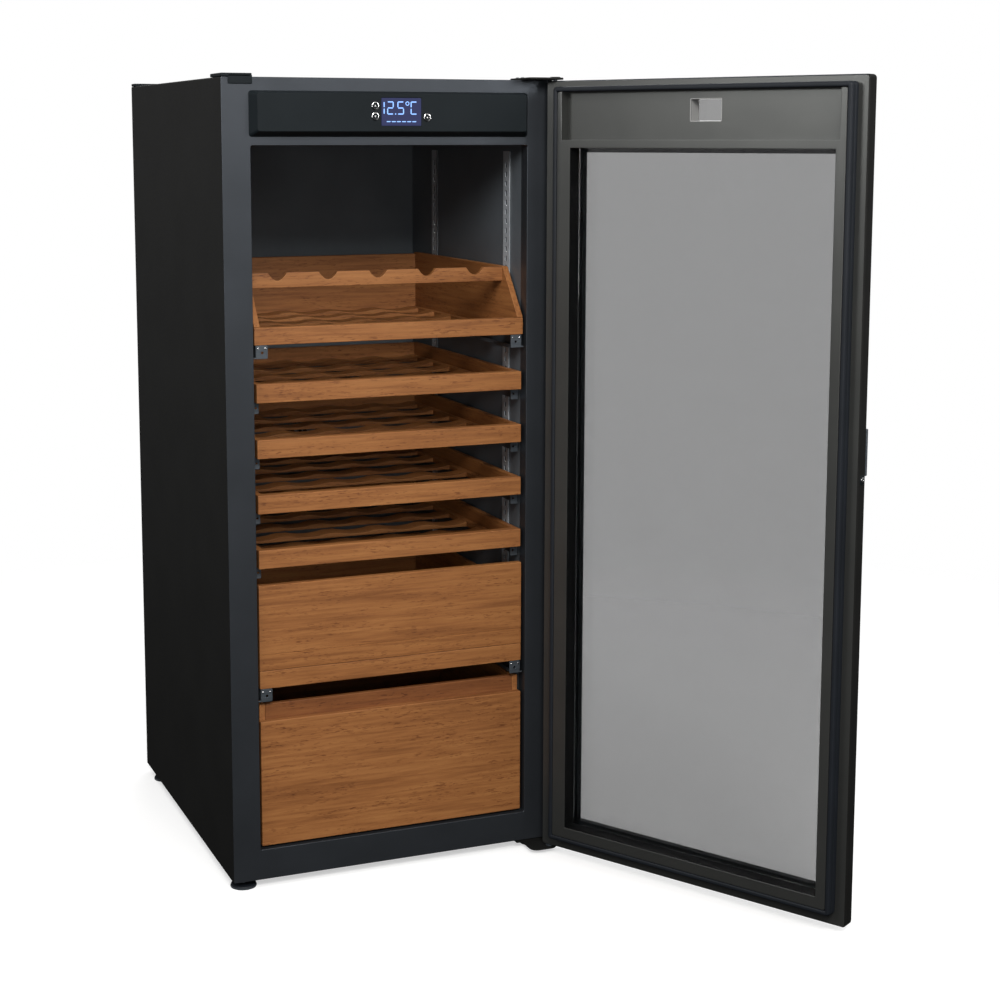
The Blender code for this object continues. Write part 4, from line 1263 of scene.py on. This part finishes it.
def make_fan():
    low, high = span("fan_blades")
    middle = (low + high) / 2
    shape = bmesh.new()
    hub = [
        (0.010, low.y), (0.014, low.y + 0.0008), (0.016, low.y + 0.004), (0.016, high.y),
        (0.012, high.y),
    ]
    add_turned(shape, hub, (middle.x, 0, middle.z), "Y", 32)
    root, reach, blades, stations = 0.0150, (high.x - low.x) / 2 - 0.0012, 5, 6
    for number in range(blades):
        loops = []
        for share in (step / (stations - 1) for step in range(stations)):
            sweep = 2 * pi * number / blades + 0.25 * share
            place = (
                Matrix.Translation(middle) @ Matrix.Rotation(sweep, 4, "Y")
                @ Matrix.Translation((root + (reach - root) * share, 0, 0))
                @ Matrix.Rotation(radians(34 - 14 * share), 4, "X")
            )
            half = 0.0085 + 0.0035 * share
            across = [
                (-half, 0.0), (-half * 0.4, -0.0014), (half * 0.4, -0.0012), (half, 0.0),
                (half * 0.4, 0.0002), (-half * 0.4, 0.0002),
            ]
            loops.append([place @ Vector((0, y, z)) for z, y in across])
        add_loft(shape, loops)
    piece("fan_rotor", shape, "plastic", "fan", replaces=["fan_blades"])


MARKS = {
    "button_up": [(-0.26, -0.18), (0.26, -0.18), (0.0, 0.28)],
    "button_down": [(-0.26, 0.18), (0.0, -0.28), (0.26, 0.18)],
    "button_light": circle(0.0, 0.0, 0.20, 16),
}

make_camera()
make_wrapper()
make_face_frame()
make_back()
make_inlet()
make_liner()
make_base()
make_control_bar()
for button, mark in MARKS.items():
    make_button(button, mark)
make_hinges()
make_cap()
make_feet()
make_door()
SHELVES = ("shelf_1", "shelf_2", "shelf_3", "shelf_4")
for side in ("left", "right"):
    for place in ("front", "rear"):
        make_strip(side, place)
    for shelf in SHELVES:
        make_runner(shelf, side, "top")
    for drawer in ("display_shelf", "upper_drawer"):
        make_runner(drawer, side, "bottom")
        make_slide(drawer, side)
    make_runner("lower_drawer", side, "bottom")
for shelf in SHELVES:
    make_shelf(shelf)
make_display_shelf()
make_upper_drawer()
make_lower_drawer()
make_cover()
make_fan()


def finish_cad_nodes():
    """The CAD nodes that stay in view get the same finishes as the pieces."""
    for name, look in (("compressor", "enamel"), ("condenser", "alloy")):
        mesh = frame["nodes"][name].data
        mesh.materials.clear()
        mesh.materials.append(LOOKS[look])


finish_cad_nodes()

# Studio


def seen_directly(tree):
    """1 for what the camera sees, straight or through glass, and 0 for light and reflections."""
    path = node(tree, "LightPath").outputs
    return maths(tree, "MAXIMUM", path["Is Camera Ray"], path["Is Transmission Ray"])


def make_floor():
    radius = 7.0
    shape = bmesh.new()
    bmesh.ops.create_circle(shape, cap_ends=True, radius=radius, segments=64)
    mesh = bpy.data.meshes.new("floor")
    shape.to_mesh(mesh)
    shape.free()
    floor = bpy.data.objects.new("floor", mesh)
    bpy.context.scene.collection.objects.link(floor)
    material, tree, shader = principled(
        "pale_floor", Base_Color=(0.62, 0.62, 0.62), Roughness=0.8, Emission_Color=(1.0, 1.0, 1.0),
        Emission_Strength=0.52, Specular_IOR_Level=0.1,
    )
    place = node(tree, "TexCoord").outputs["Object"]
    far = node(tree, "VectorMath", {"operation": "LENGTH"}, Vector=place).outputs["Value"]
    fade = ramp(tree, maths(tree, "DIVIDE", far, radius), (0.10, 1.0), (0.42, 0.0))
    tree.links.new(maths(tree, "MULTIPLY", fade, seen_directly(tree)), shader.inputs["Alpha"])
    mesh.materials.append(material)


def light(name, place, size, power, target, colour=(1, 1, 1)):
    made = bpy.data.objects.new(name, bpy.data.lights.new(name, "AREA"))
    made.data.shape = "RECTANGLE"
    made.data.size, made.data.size_y = size
    made.data.energy = power
    made.data.color = colour
    made.location = place
    made.rotation_euler = (Vector(target) - Vector(place)).to_track_quat("-Z", "Y").to_euler()
    bpy.context.scene.collection.objects.link(made)


def make_studio():
    make_floor()
    light("key", (-0.9, -3.4, 3.1), (1.8, 1.2), 138, (-0.1, 0, 0.9), (1.0, 0.985, 0.96))
    light("right_fill", (2.3, -3.2, 2.4), (1.2, 1.2), 38, (-0.2, 0, 0.9))
    light("left_strip", (-3.0, -0.9, 2.2), (0.8, 0.5), 30, (0.3, -0.4, 1.5))
    light("front_fill", (-1.5, -3.9, 1.2), (1.2, 0.8), 16, (0.0, 0.5, 1.35))
    light("back_fill", (1.2, 3.2, 2.6), (2.5, 2.0), 60, (0.0, 0.2, 0.8))
    world = bpy.data.worlds.new("studio")
    world.use_nodes = True
    tree = world.node_tree
    view = node(tree, "TexCoord").outputs["Generated"]
    height = node(tree, "SeparateXYZ", Vector=view).outputs["Z"]
    level = maths(tree, "MULTIPLY_ADD", height, 0.5, 0.5)
    dim = ramp(tree, level, (0.36, 0.01), (0.50, 0.24), (0.64, 0.44))
    sky = tree.nodes["Background"]
    sky.inputs["Color"].default_value = (1, 1, 1, 1)
    tree.links.new(maths(tree, "MAXIMUM", seen_directly(tree), dim), sky.inputs["Strength"])
    bpy.context.scene.world = world
    bpy.context.scene.view_settings.view_transform = "Standard"


make_studio()
